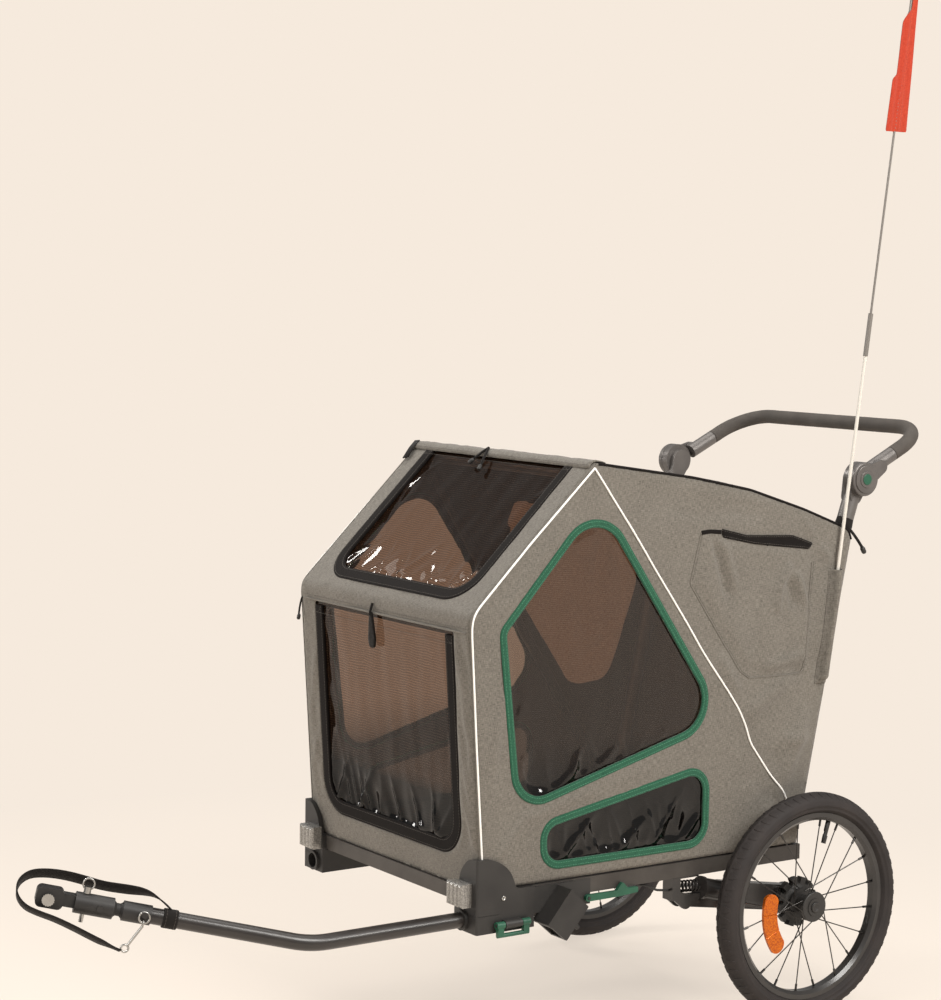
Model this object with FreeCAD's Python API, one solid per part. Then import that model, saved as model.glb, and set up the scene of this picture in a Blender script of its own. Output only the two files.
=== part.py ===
"""Dog bike trailer: a folding cloth cabin on a sprung two-wheel chassis, with drawbar, push handle and flag.

Everything is drawn with the wheel axle at y = 0 and the ground at z = 0, then moved along Y so that the
origin lies under the middle of the whole trailer. Front is -Y, the trailer's left side is +X.
"""
import FreeCAD
import Part
import math
import os

from FreeCAD import Vector

# Wheels
WHEEL_R = 195.0
WHEEL_MID_X = 304.0
TYRE_HALF_WIDTH = 21.0
RIM_FLANGE_R = 161.0
RIM_BED_R = 155.0
RIM_INNER_R = 147.5
RIM_HALF_WIDTH = 12.0
SPOKE_COUNT = 20
SPOKE_R = 1.0
NIPPLE_R = 2.0
NIPPLE_LENGTH = 12.0
SPOKE_SWEEP = 48.0
HUB_FLANGE_R = 26.0
HUB_HOLE_R = 21.5
HUB_BARREL_R = 15.0
HUB_INNER_FLANGE_X = 289.5
HUB_OUTER_FLANGE_X = 319.5
HUB_FACE_X = 325.0
BRAKE_RING_R = 43.0
BRAKE_RING_X = (270.0, 280.0)
BRAKE_NOTCHES = 12
BRAKE_PIN_AT = 36.0
BRAKE_PIN_ANGLE = 146.0
BRAKE_PIN_R = 3.0
AXLE_R = 6.5
BUTTON_R = 9.0
BUTTON_X = (320.0, 327.5)
RELEASE_ROD_R = 2.4
RUNNING_GAP = 0.05

# Chassis
CABIN_HALF = 261.0
CLOTH = 3.0
RAIL_X = (236.0, 261.0)
RAIL_Z = (264.0, 290.0)
RAIL_FRONT_Y = -652.0
RAIL_REAR_Y = 19.0
FRONT_RAIL_DEPTH = 22.0
BRACKET_X = 268.0
BRACKET_FRONT_Y = -660.0
BRACKET_REAR_Y = -549.0
BRACKET_BOTTOM_Z = 225.0
BRACKET_TOP_Z = 344.0
BRACKET_INNER_X = 205.0
DRAWBAR_X = 230.0
DRAWBAR_Z = 243.0
DRAWBAR_R = 12.5

# Cabin outline in the side view, as (y, z)
FRONT_FOOT = (-647.0, 291.0)
EAVE = (-677.0, 727.0)
APEX = (-439.0, 962.0)
ROOF_BEND = (-110.0, 915.0)
REAR_TOP = (124.0, 829.0)
REAR_FOOT = (13.0, 291.0)
CABIN_RADII = [0.0, 25.0, 18.0, 1200.0, 22.0, 0.0]
FLOOR_TOP_Z = 294.5
DOOR_HALF = 212.0
DOOR_TOP_Z = 700.0
DOOR_FOOT_Z = 336.0
DOOR_CORNER_R = 60.0
BINDING = 15.0
FRONT_BINDING = 22.0

# Window outlines on the cabin's sides, as corner points (y, z) with their radii
BIG_WINDOW = [(-430.0, 913.0), (-152.0, 521.0), (-585.0, 405.0), (-620.0, 703.0)]
BIG_WINDOW_RADII = [72.0, 66.0, 58.0, 30.0]
LOW_WINDOW = [(-188.0, 454.0), (-188.0, 311.5), (-534.0, 311.5), (-534.0, 390.0)]
LOW_WINDOW_RADII = [40.0, 42.0, 38.0, 36.0]
POCKET = [(-219.0, 843.0), (-240.0, 756.0), (-125.0, 598.0), (10.0, 587.0), (30.0, 812.0)]
POCKET_RADII = [6.0, 12.0, 14.0, 14.0, 6.0]
POCKET_SWELL = 5.0

# Folding frame, pivots and bends as (y, z)
FRAME_PIN_R = 4.0
REAR_PIVOT = (4.0, 352.0)
REAR_BEND = (97.0, 785.0)
REAR_TUBE_R = 12.5
REAR_TUBE_X = 244.5
REAR_CROSS_Z = 770.0
APEX_PIVOT = (-28.0, 318.0)
APEX_BAR = (-434.0, 938.0)
APEX_TUBE_X = 247.0
FRONT_PIVOT = (-634.0, 306.0)
FRONT_BAR = (-661.5, 700.0)
FRONT_TUBE_X = 218.0
HOOP_R = 9.0
HOOP_BEND = 45.0

# Push handle
HANDLE_PIVOT = (142.0, 917.0)
HANDLE_BAR = (310.0, 1000.0)
HANDLE_DISC_R = 29.5
HANDLE_DISC_X = (243.0, 257.0, 258.0, 272.0)
HANDLE_STEPS = [(268.5, 29.5, 2.5), (270.5, 24.0, 1.0), (272.0, 14.5, 1.0)]
HANDLE_TUBE_R = 11.5
GRIP_R = 12.75
HANDLE_BEND = 72.0
HANDLE_NECK = 46.0
HANDLE_SLEEVE = (33.5, 91.0)
HANDLE_SLEEVE_R = 12.9
GRIP_START = 92.0
HANDLE_BUTTON_R = 9.5
HANDLE_BUTTON_OUT = 1.5

# Suspension, as (y, z)
ARM_PIVOT = (-232.0, 222.0)
ARM_PIN_R = 5.0
ARM_X = (243.0, 255.0)
ARM_MID_X = 249.0
CUP_R = 18.0
CUP_FRONT = (-194.0, 238.0)
CUP_REAR = (-149.0, 226.0)
SPRING_SEAT_Y = -245.0
SPRING_FRONT_Z = 246.0
SPRING_REAR_Z = 243.0
SPRING_COIL_R = 8.6
SPRING_WIRE_R = 1.7
SPRING_TURNS = 6
LEVER_PIVOT = (-440.5, 256.5)
LEVER_STUD_R = 2.5

# Drawbar and hitch
DRAWBAR_TAIL_Y = -566.0
DRAWBAR_BEND = Vector(230.0, -938.0, 243.0)
HITCH_AIM = Vector(82.0, -1296.0, 330.0)
DRAWBAR_BEND_R = 130.0
FERRULE = (246.0, 289.0)
NECK = (289.0, 303.0)
HITCH_SLEEVE = (303.0, 361.0)
HITCH_HEAD_END = 419.0
FERRULE_R = 15.0
HITCH_PIN_AT = 346.0
HITCH_PIN_R = 3.5
HITCH_BOLT_AT = 401.0

# Flag, as (y, z)
FLAG_X = 270.0
FLAG_FOOT = (55.4, 575.0)
FLAG_LEAN = 0.1354
FLAG_TOP_Z = 1772.0
FLAG_JOINT_Z = (1130.0, 1203.0)
PENNANT_FOOT_Z = 1514.0
PENNANT_WIDTH = (20.0, 28.0)
SLEEVE_TOP_Z = 764.0

HITCH_HEAD_REACH = 25.783
ROW_SHIFT = Vector(0.0, 0.5 * (-HITCH_AIM.y + HITCH_HEAD_REACH - HANDLE_BAR[0] - GRIP_R), 0.0)
ALONG_X = Vector(1, 0, 0)
ALONG_Y = Vector(0, 1, 0)
ALONG_Z = Vector(0, 0, 1)


# Shape helpers
def box(x, y, z):
    """Box between the (low, high) pairs x, y and z."""
    return Part.makeBox(x[1] - x[0], y[1] - y[0], z[1] - z[0], Vector(x[0], y[0], z[0]))


def rod(start, end, radius):
    """Round bar from one point to another."""
    return Part.makeCylinder(radius, (end - start).Length, start, end - start)


def pin(x, at, radius):
    """Round bar along X between the pair x, centred on (y, z)."""
    return rod(Vector(x[0], at[0], at[1]), Vector(x[1], at[0], at[1]), radius)


def corner_edges(points, radii, closed):
    """Straight runs joined by tangent arcs through corner points."""
    count = len(points)
    starts, ends, arcs = [], [], []
    for i, point in enumerate(points):
        inner = closed or 0 < i < count - 1
        if not inner or radii[i] <= 0:
            starts.append(point)
            ends.append(point)
            arcs.append(None)
            continue
        way_in = (point - points[i - 1]).normalize()
        way_out = (points[(i + 1) % count] - point).normalize()
        half = 0.5 * way_in.getAngle(way_out)
        reach = radii[i] * math.tan(half)
        bisector = (way_out - way_in).normalize()
        middle = point + bisector * (radii[i] / math.cos(half) - radii[i])
        starts.append(point - way_in * reach)
        ends.append(point + way_out * reach)
        arcs.append(Part.Arc(starts[i], middle, ends[i]).toShape())
    edges = []
    for i in range(count):
        if arcs[i] is not None:
            edges.append(arcs[i])
        if i == count - 1 and not closed:
            break
        following = starts[(i + 1) % count]
        if (following - ends[i]).Length > 1e-6:
            edges.append(Part.LineSegment(ends[i], following).toShape())
    return edges


class Plane:
    """A drawing plane with its own two axes and an outward normal."""

    def __init__(self, origin, across, up):
        self.origin = origin
        self.across = across.normalize()
        self.up = up.normalize()
        self.normal = self.across.cross(self.up)

    def at(self, a, b, depth=0.0):
        """Point at (a, b) in the plane, raised by depth."""
        return self.origin + self.across * a + self.up * b + self.normal * depth

    def slab(self, outline, radii, depth):
        """Plate of a rounded outline between two depths."""
        points = [self.at(a, b, depth[0]) for a, b in outline]
        wire = Part.Wire(Part.__sortEdges__(corner_edges(points, radii, True)))
        return Part.Face(wire).extrude(self.normal * (depth[1] - depth[0]))


def side_plane(x):
    """Plane facing +X whose axes are Y and Z."""
    return Plane(Vector(x, 0, 0), Vector(0, 1, 0), Vector(0, 0, 1))


def side_slab(outline, radii, x):
    """Plate of a (y, z) outline between the pair x."""
    return side_plane(x[0]).slab(outline, radii, (0.0, x[1] - x[0]))


def bent_tube(points, bends, outer, inner=0.0):
    """Tube swept along straight runs joined by tangent arcs."""
    path = Part.Wire(Part.__sortEdges__(corner_edges(points, bends, False)))
    start = points[0]
    way = points[1] - points[0]

    def swept(radius):
        ring = Part.Wire(Part.makeCircle(radius, start, way))
        return path.makePipeShell([ring], True, False)

    tube = swept(outer)
    if inner > 0:
        tube = tube.cut(swept(inner))
    return tube


def turned(profile):
    """Solid of revolution about the axle from (x, radius) corners."""
    points = [Vector(x, 0, WHEEL_R + r) for x, r in profile]
    face = Part.Face(Part.makePolygon(points + points[:1]))
    return face.revolve(Vector(0, 0, WHEEL_R), ALONG_X, 360)


def link(first, first_r, second, second_r, x):
    """Tapered link between two round ends given as (y, z)."""
    a = Vector(x[0], first[0], first[1])
    b = Vector(x[0], second[0], second[1])
    way = (b - a).normalize()
    square = ALONG_X.cross(way)
    lean = math.asin((first_r - second_r) / (b - a).Length)
    corners = []
    for sign, order in ((1, (a, b)), (-1, (b, a))):
        normal = square * (sign * math.cos(lean)) + way * math.sin(lean)
        for centre in order:
            corners.append(centre + normal * (first_r if centre is a else second_r))
    body = Part.Face(Part.makePolygon(corners + corners[:1])).extrude(ALONG_X * (x[1] - x[0]))
    return fused([body, pin(x, first, first_r), pin(x, second, second_r)])


def fused(shapes):
    """One solid from shapes that meet."""
    body = shapes[0].multiFuse(shapes[1:])
    return body.removeSplitter()


def mirrored(shape):
    """The same piece on the other side of the trailer."""
    return shape.mirror(Vector(0, 0, 0), ALONG_X)


def both(shape):
    """A piece and its mirror twin."""
    return [shape, mirrored(shape)]


def save(node, shapes):
    """Write one node's solids to its own file, in the trailer's frame."""
    solids = []
    for shape in shapes:
        moved = shape.copy()
        moved.translate(ROW_SHIFT)
        solids.extend(moved.Solids)
    whole = solids[0] if len(solids) == 1 else Part.makeCompound(solids)
    whole.exportStep(os.path.join("parts", node + ".step"))
    bad = [solid for solid in solids if not solid.isValid()]
    litres = sum(s.Volume for s in solids) / 1e6
    print(node, len(solids), "solids", round(litres, 4), "litres", "BAD" if bad else "")


# Chassis
def side_rail():
    """Box-section rail along the left side of the floor."""
    outer = box(RAIL_X, (RAIL_FRONT_Y, RAIL_REAR_Y), RAIL_Z)
    wall = 2.0
    bore = box(
        (RAIL_X[0] + wall, RAIL_X[1] - wall),
        (RAIL_FRONT_Y, RAIL_REAR_Y),
        (RAIL_Z[0] + wall, RAIL_Z[1] - wall),
    )
    return outer.cut(bore)


def front_rail():
    """Cross rail behind the corner brackets, with a hinge lug and pin for each leg of the front hoop."""
    rear_y = RAIL_FRONT_Y + FRONT_RAIL_DEPTH
    pieces = [box((-RAIL_X[0], RAIL_X[0]), (RAIL_FRONT_Y, rear_y), (RAIL_Z[0] + 2.0, RAIL_Z[1]))]
    lug_x = (228.5, 234.0)
    foot = (FRONT_PIVOT[0], RAIL_Z[1] - 4.0)
    for lug in both(link(foot, 4.0, FRONT_PIVOT, 8.0, lug_x)):
        pieces.append(lug)
    for hinge in both(pin((207.0, lug_x[1]), FRONT_PIVOT, FRAME_PIN_R)):
        pieces.append(hinge)
    return fused(pieces)


def rear_rail():
    """Cross rail at the back, with the hinge plates that carry the rear frame and the apex hoop."""
    plate_x = (225.0, 231.0)
    depth = 26.0
    pieces = [box((-RAIL_X[0], RAIL_X[0]), (RAIL_REAR_Y - depth, RAIL_REAR_Y), RAIL_Z)]
    outline = [(-42.0, 268.0), (-42.0, 326.0), (-16.0, 364.0), (10.5, 364.0), (10.5, 268.0)]
    for plate in both(side_slab(outline, [0.0, 12.0, 10.0, 10.0, 0.0], plate_x)):
        pieces.append(plate)
    for pivot in (REAR_PIVOT, APEX_PIVOT):
        for hinge in both(pin((plate_x[0], 257.0), pivot, FRAME_PIN_R)):
            pieces.append(hinge)
    return fused(pieces)


def corner_bracket():
    """Moulded corner piece: domed side and front walls over a block with the round drawbar socket."""
    side_outline = [
        (BRACKET_FRONT_Y, BRACKET_BOTTOM_Z),
        (BRACKET_FRONT_Y, BRACKET_TOP_Z),
        (-628.0, BRACKET_TOP_Z),
        (-596.0, 322.0),
        (-584.0, 291.0),
        (BRACKET_REAR_Y, 291.0),
        (BRACKET_REAR_Y, BRACKET_BOTTOM_Z),
    ]
    side = side_slab(side_outline, [0.0, 0.0, 60.0, 50.0, 10.0, 3.0, 8.0], (CABIN_HALF, BRACKET_X))
    front_plane = Plane(Vector(0, RAIL_FRONT_Y, 0), Vector(1, 0, 0), Vector(0, 0, 1))
    front_outline = [
        (BRACKET_X, BRACKET_BOTTOM_Z),
        (BRACKET_X, BRACKET_TOP_Z),
        (244.0, BRACKET_TOP_Z),
        (222.0, 322.0),
        (214.0, 291.0),
        (BRACKET_INNER_X, 291.0),
        (BRACKET_INNER_X, BRACKET_BOTTOM_Z),
    ]
    front_radii = [0.0, 0.0, 30.0, 40.0, 8.0, 3.0, 8.0]
    front = front_plane.slab(front_outline, front_radii, (0.0, RAIL_FRONT_Y - BRACKET_FRONT_Y))
    block = box(
        (BRACKET_INNER_X, BRACKET_X),
        (BRACKET_FRONT_Y, BRACKET_REAR_Y),
        (BRACKET_BOTTOM_Z, RAIL_Z[0]),
    )
    collar = rod(
        Vector(DRAWBAR_X, BRACKET_FRONT_Y - 6.0, DRAWBAR_Z),
        Vector(DRAWBAR_X, BRACKET_FRONT_Y, DRAWBAR_Z),
        DRAWBAR_R + 4.0,
    )
    barrel = rod(Vector(274.5, -611.0, 238.0), Vector(274.5, -579.0, 238.0), 6.5)
    saddle = box((BRACKET_X, 274.5), (-611.0, -579.0), (231.5, 244.5))
    latch_pin = rod(Vector(274.5, -627.0, 238.0), Vector(274.5, -563.0, 238.0), 3.0)
    socket = rod(
        Vector(DRAWBAR_X, BRACKET_FRONT_Y - 7.0, DRAWBAR_Z),
        Vector(DRAWBAR_X, DRAWBAR_TAIL_Y + 2.0, DRAWBAR_Z),
        DRAWBAR_R + RUNNING_GAP,
    )
    body = fused([side, front, block, collar, barrel, saddle, latch_pin])
    edge = [e for e in body.Edges if abs(e.BoundBox.XMin - BRACKET_X) < 1e-3 and e.BoundBox.XLength < 1e-3
            and abs(e.BoundBox.YMin - BRACKET_FRONT_Y) < 1e-3 and e.BoundBox.YLength < 1e-3]
    parting_z = (253.6, 254.4)
    outer = box((BRACKET_X - 30.0, BRACKET_X + 1.0), (BRACKET_FRONT_Y - 1.0, -618.0), parting_z)
    inner = box((BRACKET_X - 31.0, BRACKET_X - 0.8), (BRACKET_FRONT_Y + 0.8, -617.0), parting_z)
    return body.makeFillet(4.0, edge).cut(socket).cut(outer.cut(inner))


def front_reflector():
    """Clear reflector block with vertical ribs on the front of a bracket."""
    x = (209.0, 253.0)
    y = (-680.0, BRACKET_FRONT_Y)
    body = box(x, y, (267.0, 305.0))
    rounded = body.makeFillet(5.0, [e for e in body.Edges if abs(e.BoundBox.YMax - y[0]) < 1e-3])
    grooves = []
    low, tall = 262.0, ALONG_Z * 48.0
    for i in range(3):
        foot = Vector(x[0] + 11.0 * (i + 1), y[0] - 0.6, low)
        grooves.append(rod(foot, foot + tall, 2.2))
    for groove_y in (-672.0, -665.5):
        foot = Vector(x[1] + 0.4, groove_y, low)
        grooves.append(rod(foot, foot + tall, 1.6))
    return rounded.cut(Part.makeCompound(grooves))


def wheel_arm_socket():
    """Angled square socket beside the left rail for a stroller wheel arm, with its thumb screw."""
    mouth_way = Vector(0, -43.0, -50.0).normalize()
    rear_way = Vector(0, 50.0, -43.0).normalize()
    top_front = Vector(0, -503.0, 286.0)
    length, depth = 66.0, 50.0
    x = (CABIN_HALF, CABIN_HALF + 40.0)

    def slanted(along, across, wide):
        corners = [
            top_front + mouth_way * a + rear_way * b
            for a, b in ((along[0], across[0]), (along[1], across[0]), (along[1], across[1]), (along[0], across[1]))
        ]
        outline = [(c.y, c.z) for c in corners]
        return side_slab(outline, [2.0, 2.0, 2.0, 2.0], wide)

    tube = slanted((0.0, length), (8.0, depth), x)
    flange = slanted((-2.0, length + 2.0), (0.0, 8.0), (x[0], x[1] + 3.0))
    hanger = box((CABIN_HALF, CABIN_HALF + 5.0), (BRACKET_REAR_Y, -470.0), (246.0, RAIL_Z[1] - 2.0))
    band = slanted((26.0, 40.0), (depth - 4.0, depth + 3.0), (x[0] + 6.0, x[1] - 6.0))
    screw_at = top_front + mouth_way * 33.0 + rear_way * depth + ALONG_X * (x[0] + 20.0)
    screw = rod(screw_at, screw_at + rear_way * 20.0, 4.0)
    bore = slanted((12.0, length + 1.0), (15.0, depth - 7.0), (x[0] + 6.0, x[1] - 6.0))
    lever_plate = box((CABIN_HALF, 262.2), (-480.0, LEVER_PIVOT[0] + 7.0), (246.0, RAIL_Z[1] - 2.0))
    lever_stud = pin((CABIN_HALF, 270.0), LEVER_PIVOT, LEVER_STUD_R)
    return fused([tube, flange, hanger, band, screw, lever_plate, lever_stud]).cut(bore)


def suspension_bracket():
    """Bracket under the rail: a block, two lugs round the arm's pivot pin and a top plate."""
    block = box((RAIL_X[0], RAIL_X[1] + 1.0), (-262.0, SPRING_SEAT_Y), (226.0, RAIL_Z[0]))
    plate = box((RAIL_X[0], RAIL_X[1] + 1.0), (-262.0, -206.0), (RAIL_Z[0] - 2.0, RAIL_Z[0]))
    pieces = [block, plate]
    for x in ((RAIL_X[0], RAIL_X[0] + 5.0), (RAIL_X[1] - 4.0, RAIL_X[1] + 1.0)):
        pieces.append(link((-254.0, 234.0), 8.0, ARM_PIVOT, 13.0, x))
    pieces.append(pin((RAIL_X[0], RAIL_X[1] + 1.0), ARM_PIVOT, ARM_PIN_R))
    return fused(pieces)


def coil_spring():
    """Spring from the bracket's rear face to the swing arm's cup, as one unbroken round wire."""
    margin = 0.4
    start = Vector(ARM_MID_X, SPRING_SEAT_Y + SPRING_WIRE_R + margin, SPRING_FRONT_Z)
    end = Vector(ARM_MID_X, CUP_FRONT[0] - SPRING_WIRE_R - margin - 3.0, SPRING_REAR_Z)
    axis = end - start
    way = Vector(axis).normalize()
    side = ALONG_X
    upward = way.cross(side) * -1.0
    steps = SPRING_TURNS * 4

    def on_coil(quarter):
        turn = math.pi * 0.5 * quarter
        ring = side * math.cos(turn) + upward * math.sin(turn)
        return start + axis * (quarter / steps) + ring * SPRING_COIL_R

    edges = [
        Part.Arc(on_coil(i), on_coil(i + 0.5), on_coil(i + 1.0)).toShape()
        for i in range(steps)
    ]
    path = Part.Wire(edges)
    first = edges[0]
    ring = Part.Wire(Part.makeCircle(SPRING_WIRE_R, on_coil(0), first.tangentAt(first.FirstParameter)))
    gap = axis.Length / SPRING_TURNS - 2.0 * SPRING_WIRE_R
    print("spring gap between turns", round(gap, 2), "mm")
    return path.makePipeShell([ring], True, False)


def brake_cable():
    """Thin cable that hangs under the left rail, from the brake lever to the suspension bracket."""
    route = [
        Vector(252.0, -330.0, 261.0),
        Vector(252.0, -312.0, 258.0),
        Vector(252.0, -288.0, 246.5),
        Vector(252.0, -262.3, 243.0),
    ]
    return bent_tube(route, [0.0, 30.0, 30.0, 0.0], 2.0)


# Cabin cloth
def cabin_outline(inset):
    """Side outline of the cabin, drawn inwards by inset."""
    outline = [FRONT_FOOT, EAVE, APEX, ROOF_BEND, REAR_TOP, REAR_FOOT]
    points = [Vector(0, y, z) for y, z in outline]
    face = Part.Face(Part.Wire(Part.__sortEdges__(corner_edges(points, CABIN_RADII, True))))
    return face if inset == 0 else face.makeOffset2D(-inset)


def cabin_block(inset, half_width):
    """The cabin's whole volume, drawn inwards by inset."""
    face = cabin_outline(inset)
    face.translate(Vector(-half_width, 0, 0))
    return face.extrude(ALONG_X * (2.0 * half_width))


def front_y(z):
    """Y of the cabin's front face at height z."""
    share = (z - FRONT_FOOT[1]) / (EAVE[1] - FRONT_FOOT[1])
    return FRONT_FOOT[0] + share * (EAVE[0] - FRONT_FOOT[0])


def door_plane():
    """Plane of the front face, at the height of the door's top edge."""
    up = Vector(0, EAVE[0] - FRONT_FOOT[0], EAVE[1] - FRONT_FOOT[1])
    return Plane(Vector(0, front_y(DOOR_TOP_Z), DOOR_TOP_Z), Vector(1, 0, 0), up)


def slant_plane():
    """Plane of the slanted upper front, with its origin on the eave."""
    up = Vector(0, APEX[0] - EAVE[0], APEX[1] - EAVE[1])
    return Plane(Vector(0, EAVE[0], EAVE[1]), Vector(1, 0, 0), up)


def door_outline(grow):
    """Door outline in the front plane, grown outwards by grow."""
    half = DOOR_HALF + grow
    foot = DOOR_FOOT_Z - DOOR_TOP_Z - grow
    return [(-half, grow), (-half, foot), (half, foot), (half, grow)]


def slant_outline(grow):
    """Slanted window outline in its own plane, grown outwards by grow."""
    half = DOOR_HALF + 3.0 + grow
    length = math.hypot(APEX[0] - EAVE[0], APEX[1] - EAVE[1])
    low, high = 24.0 - grow, length - 16.0 + grow
    return [(-half, high), (-half, low), (half, low), (half, high)]


def window_radii(grow):
    """Corner radii of the front windows: small at the top, large at the foot."""
    return [10.0 + grow, DOOR_CORNER_R + grow, DOOR_CORNER_R + grow, 10.0 + grow]


def grown(outline, radii, grow):
    """A (y, z) outline with its radii, offset by grow, as a face at x = 0."""
    points = [Vector(0, y, z) for y, z in outline]
    face = Part.Face(Part.Wire(Part.__sortEdges__(corner_edges(points, radii, True))))
    return face.makeOffset2D(grow)


def side_plate(outline, radii, grow, x):
    """Plate of an offset (y, z) outline between the pair x."""
    face = grown(outline, radii, grow)
    face.translate(Vector(x[0], 0, 0))
    return face.extrude(ALONG_X * (x[1] - x[0]))


SIDE_WINDOWS = [(BIG_WINDOW, BIG_WINDOW_RADII), (LOW_WINDOW, LOW_WINDOW_RADII)]


def flag_point(z):
    """Point on the flag rod's axis at height z."""
    return Vector(FLAG_X, FLAG_FOOT[0] + FLAG_LEAN * (z - FLAG_FOOT[1]), z)


def side_panel():
    """Cloth side of the cabin with its two window holes and the swell of its pocket."""
    face = cabin_outline(0)
    face.translate(Vector(CABIN_HALF - CLOTH, 0, 0))
    panel = face.extrude(ALONG_X * CLOTH)
    for outline, radii in SIDE_WINDOWS:
        panel = panel.cut(side_plate(outline, radii, -BINDING + 3.0, (CABIN_HALF - 2 * CLOTH, CABIN_HALF + CLOTH)))
    foot = grown(POCKET, POCKET_RADII, -0.5)
    foot.translate(Vector(CABIN_HALF, 0, 0))
    crown = grown(POCKET, POCKET_RADII, -14.0)
    crown.translate(Vector(CABIN_HALF + POCKET_SWELL, 0, 0))
    pocket = Part.makeLoft([foot.OuterWire, crown.OuterWire], True, True)
    return fused([panel, pocket])


def left_panel():
    """Left side of the cabin, which also carries the sewn sleeve of the flag."""
    sleeve_r = 7.0
    low, high = flag_point(FLAG_FOOT[1] - 8.0), flag_point(SLEEVE_TOP_Z)
    sleeve = rod(low, high, sleeve_r).cut(box((0.0, CABIN_HALF), (-100.0, 200.0), (500.0, 800.0)))
    web = rod(low - ALONG_X * 5.0, high - ALONG_X * 5.0, sleeve_r)
    web = web.cut(box((0.0, CABIN_HALF), (-100.0, 200.0), (500.0, 800.0)))
    bore = rod(flag_point(FLAG_FOOT[1]), flag_point(SLEEVE_TOP_Z + 5.0), 3.4)
    return fused([side_panel(), sleeve, web]).cut(bore)


def upright_path():
    """Points of the left rear upright, from its hinge to the handle's joint."""
    way = Vector(0, HANDLE_PIVOT[0] - REAR_BEND[0], HANDLE_PIVOT[1] - REAR_BEND[1]).normalize()
    top = Vector(REAR_TUBE_X, HANDLE_PIVOT[0], HANDLE_PIVOT[1]) - way * (HANDLE_DISC_R + 3.0)
    return [
        Vector(REAR_TUBE_X, REAR_PIVOT[0], REAR_PIVOT[1]),
        Vector(REAR_TUBE_X, REAR_BEND[0], REAR_BEND[1]),
        top,
    ]


def cabin_skin():
    """Cloth of the front, roof and back between the two sides, open where the uprights pass."""
    half = CABIN_HALF - CLOTH
    skin = cabin_block(0, half).cut(cabin_block(CLOTH, half))
    sleeve = bent_tube(upright_path(), [0.0, 150.0, 0.0], REAR_TUBE_R + 1.5)
    return skin.cut(Part.makeCompound(both(sleeve)))


def cabin_cloth():
    """Front, roof and rear cloth, each cut from the one skin."""
    skin = cabin_skin()
    wide = (-CABIN_HALF, CABIN_HALF)
    ridge_y, back_z = APEX[0] + 3.0, 800.0
    front = skin.common(box(wide, (-700.0, ridge_y), (FLOOR_TOP_Z, 1000.0)))
    roof = skin.common(box(wide, (ridge_y, 200.0), (back_z, 1000.0)))
    rear = skin.common(box(wide, (-60.0, 200.0), (FLOOR_TOP_Z, back_z)))
    door_hole = door_plane().slab(door_outline(0.8), window_radii(0.8), (-10.0, 10.0))
    glass_hole = slant_plane().slab(slant_outline(3.0 - FRONT_BINDING), window_radii(0.0), (-10.0, 10.0))
    return front.cut(door_hole).cut(glass_hole), roof, rear


def side_panes():
    """Clear vinyl behind the window holes of the left side."""
    x = (CABIN_HALF - CLOTH - 1.0, CABIN_HALF - CLOTH)
    return [side_plate(outline, radii, -4.0, x) for outline, radii in SIDE_WINDOWS]


def side_bindings():
    """Edge binding round the windows of the left side."""
    x = (CABIN_HALF, CABIN_HALF + 2.0)
    return [
        side_plate(outline, radii, 0.0001, x).cut(side_plate(outline, radii, -BINDING, x))
        for outline, radii in SIDE_WINDOWS
    ]


def slant_pane():
    """Clear vinyl behind the slanted window's hole."""
    return slant_plane().slab(slant_outline(-4.0), window_radii(0.0), (-CLOTH - 1.0, -CLOTH))


def slant_binding():
    """Black border of the slanted window."""
    outer = slant_plane().slab(slant_outline(0.0), window_radii(0.0), (0.0, 2.0))
    hole = slant_plane().slab(slant_outline(-FRONT_BINDING), window_radii(-8.0), (-1.0, 3.0))
    return outer.cut(hole)


def door_border():
    """Black bordered frame of the front door."""
    outer = door_plane().slab(door_outline(0.0), window_radii(0.0), (-CLOTH, 0.0))
    hole = door_plane().slab(door_outline(-FRONT_BINDING), window_radii(-8.0), (-CLOTH - 1.0, 1.0))
    return outer.cut(hole)


def door_pane():
    """Clear vinyl on the back of the door's frame."""
    return door_plane().slab(door_outline(-8.0), window_radii(-4.0), (-CLOTH - 1.0, -CLOTH))


def floor_panel():
    """Stiff floor between the rails, with rounded front and rear edges."""
    lip = 2.0
    tray = box(
        (-RAIL_X[0], RAIL_X[0]),
        (RAIL_FRONT_Y + FRONT_RAIL_DEPTH, RAIL_REAR_Y - 26.0),
        (RAIL_Z[1] - 4.0, RAIL_Z[1]),
    )
    cover = box(
        (-CABIN_HALF + CLOTH + lip, CABIN_HALF - CLOTH - lip),
        (front_y(RAIL_Z[1]) + CLOTH + 4.0, RAIL_REAR_Y - 30.0),
        (RAIL_Z[1], FLOOR_TOP_Z - 0.5),
    )
    notch_x = (206.0, CABIN_HALF)
    notches = []
    for near in both(box(notch_x, (-60.0, RAIL_REAR_Y), (RAIL_Z[0], FLOOR_TOP_Z))):
        notches.append(near)
    for near in both(box((206.0, 236.0), (-650.0, FRONT_PIVOT[0] + 12.0), (RAIL_Z[0], FLOOR_TOP_Z))):
        notches.append(near)
    return fused([tray, cover]).cut(Part.makeCompound(notches))


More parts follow.
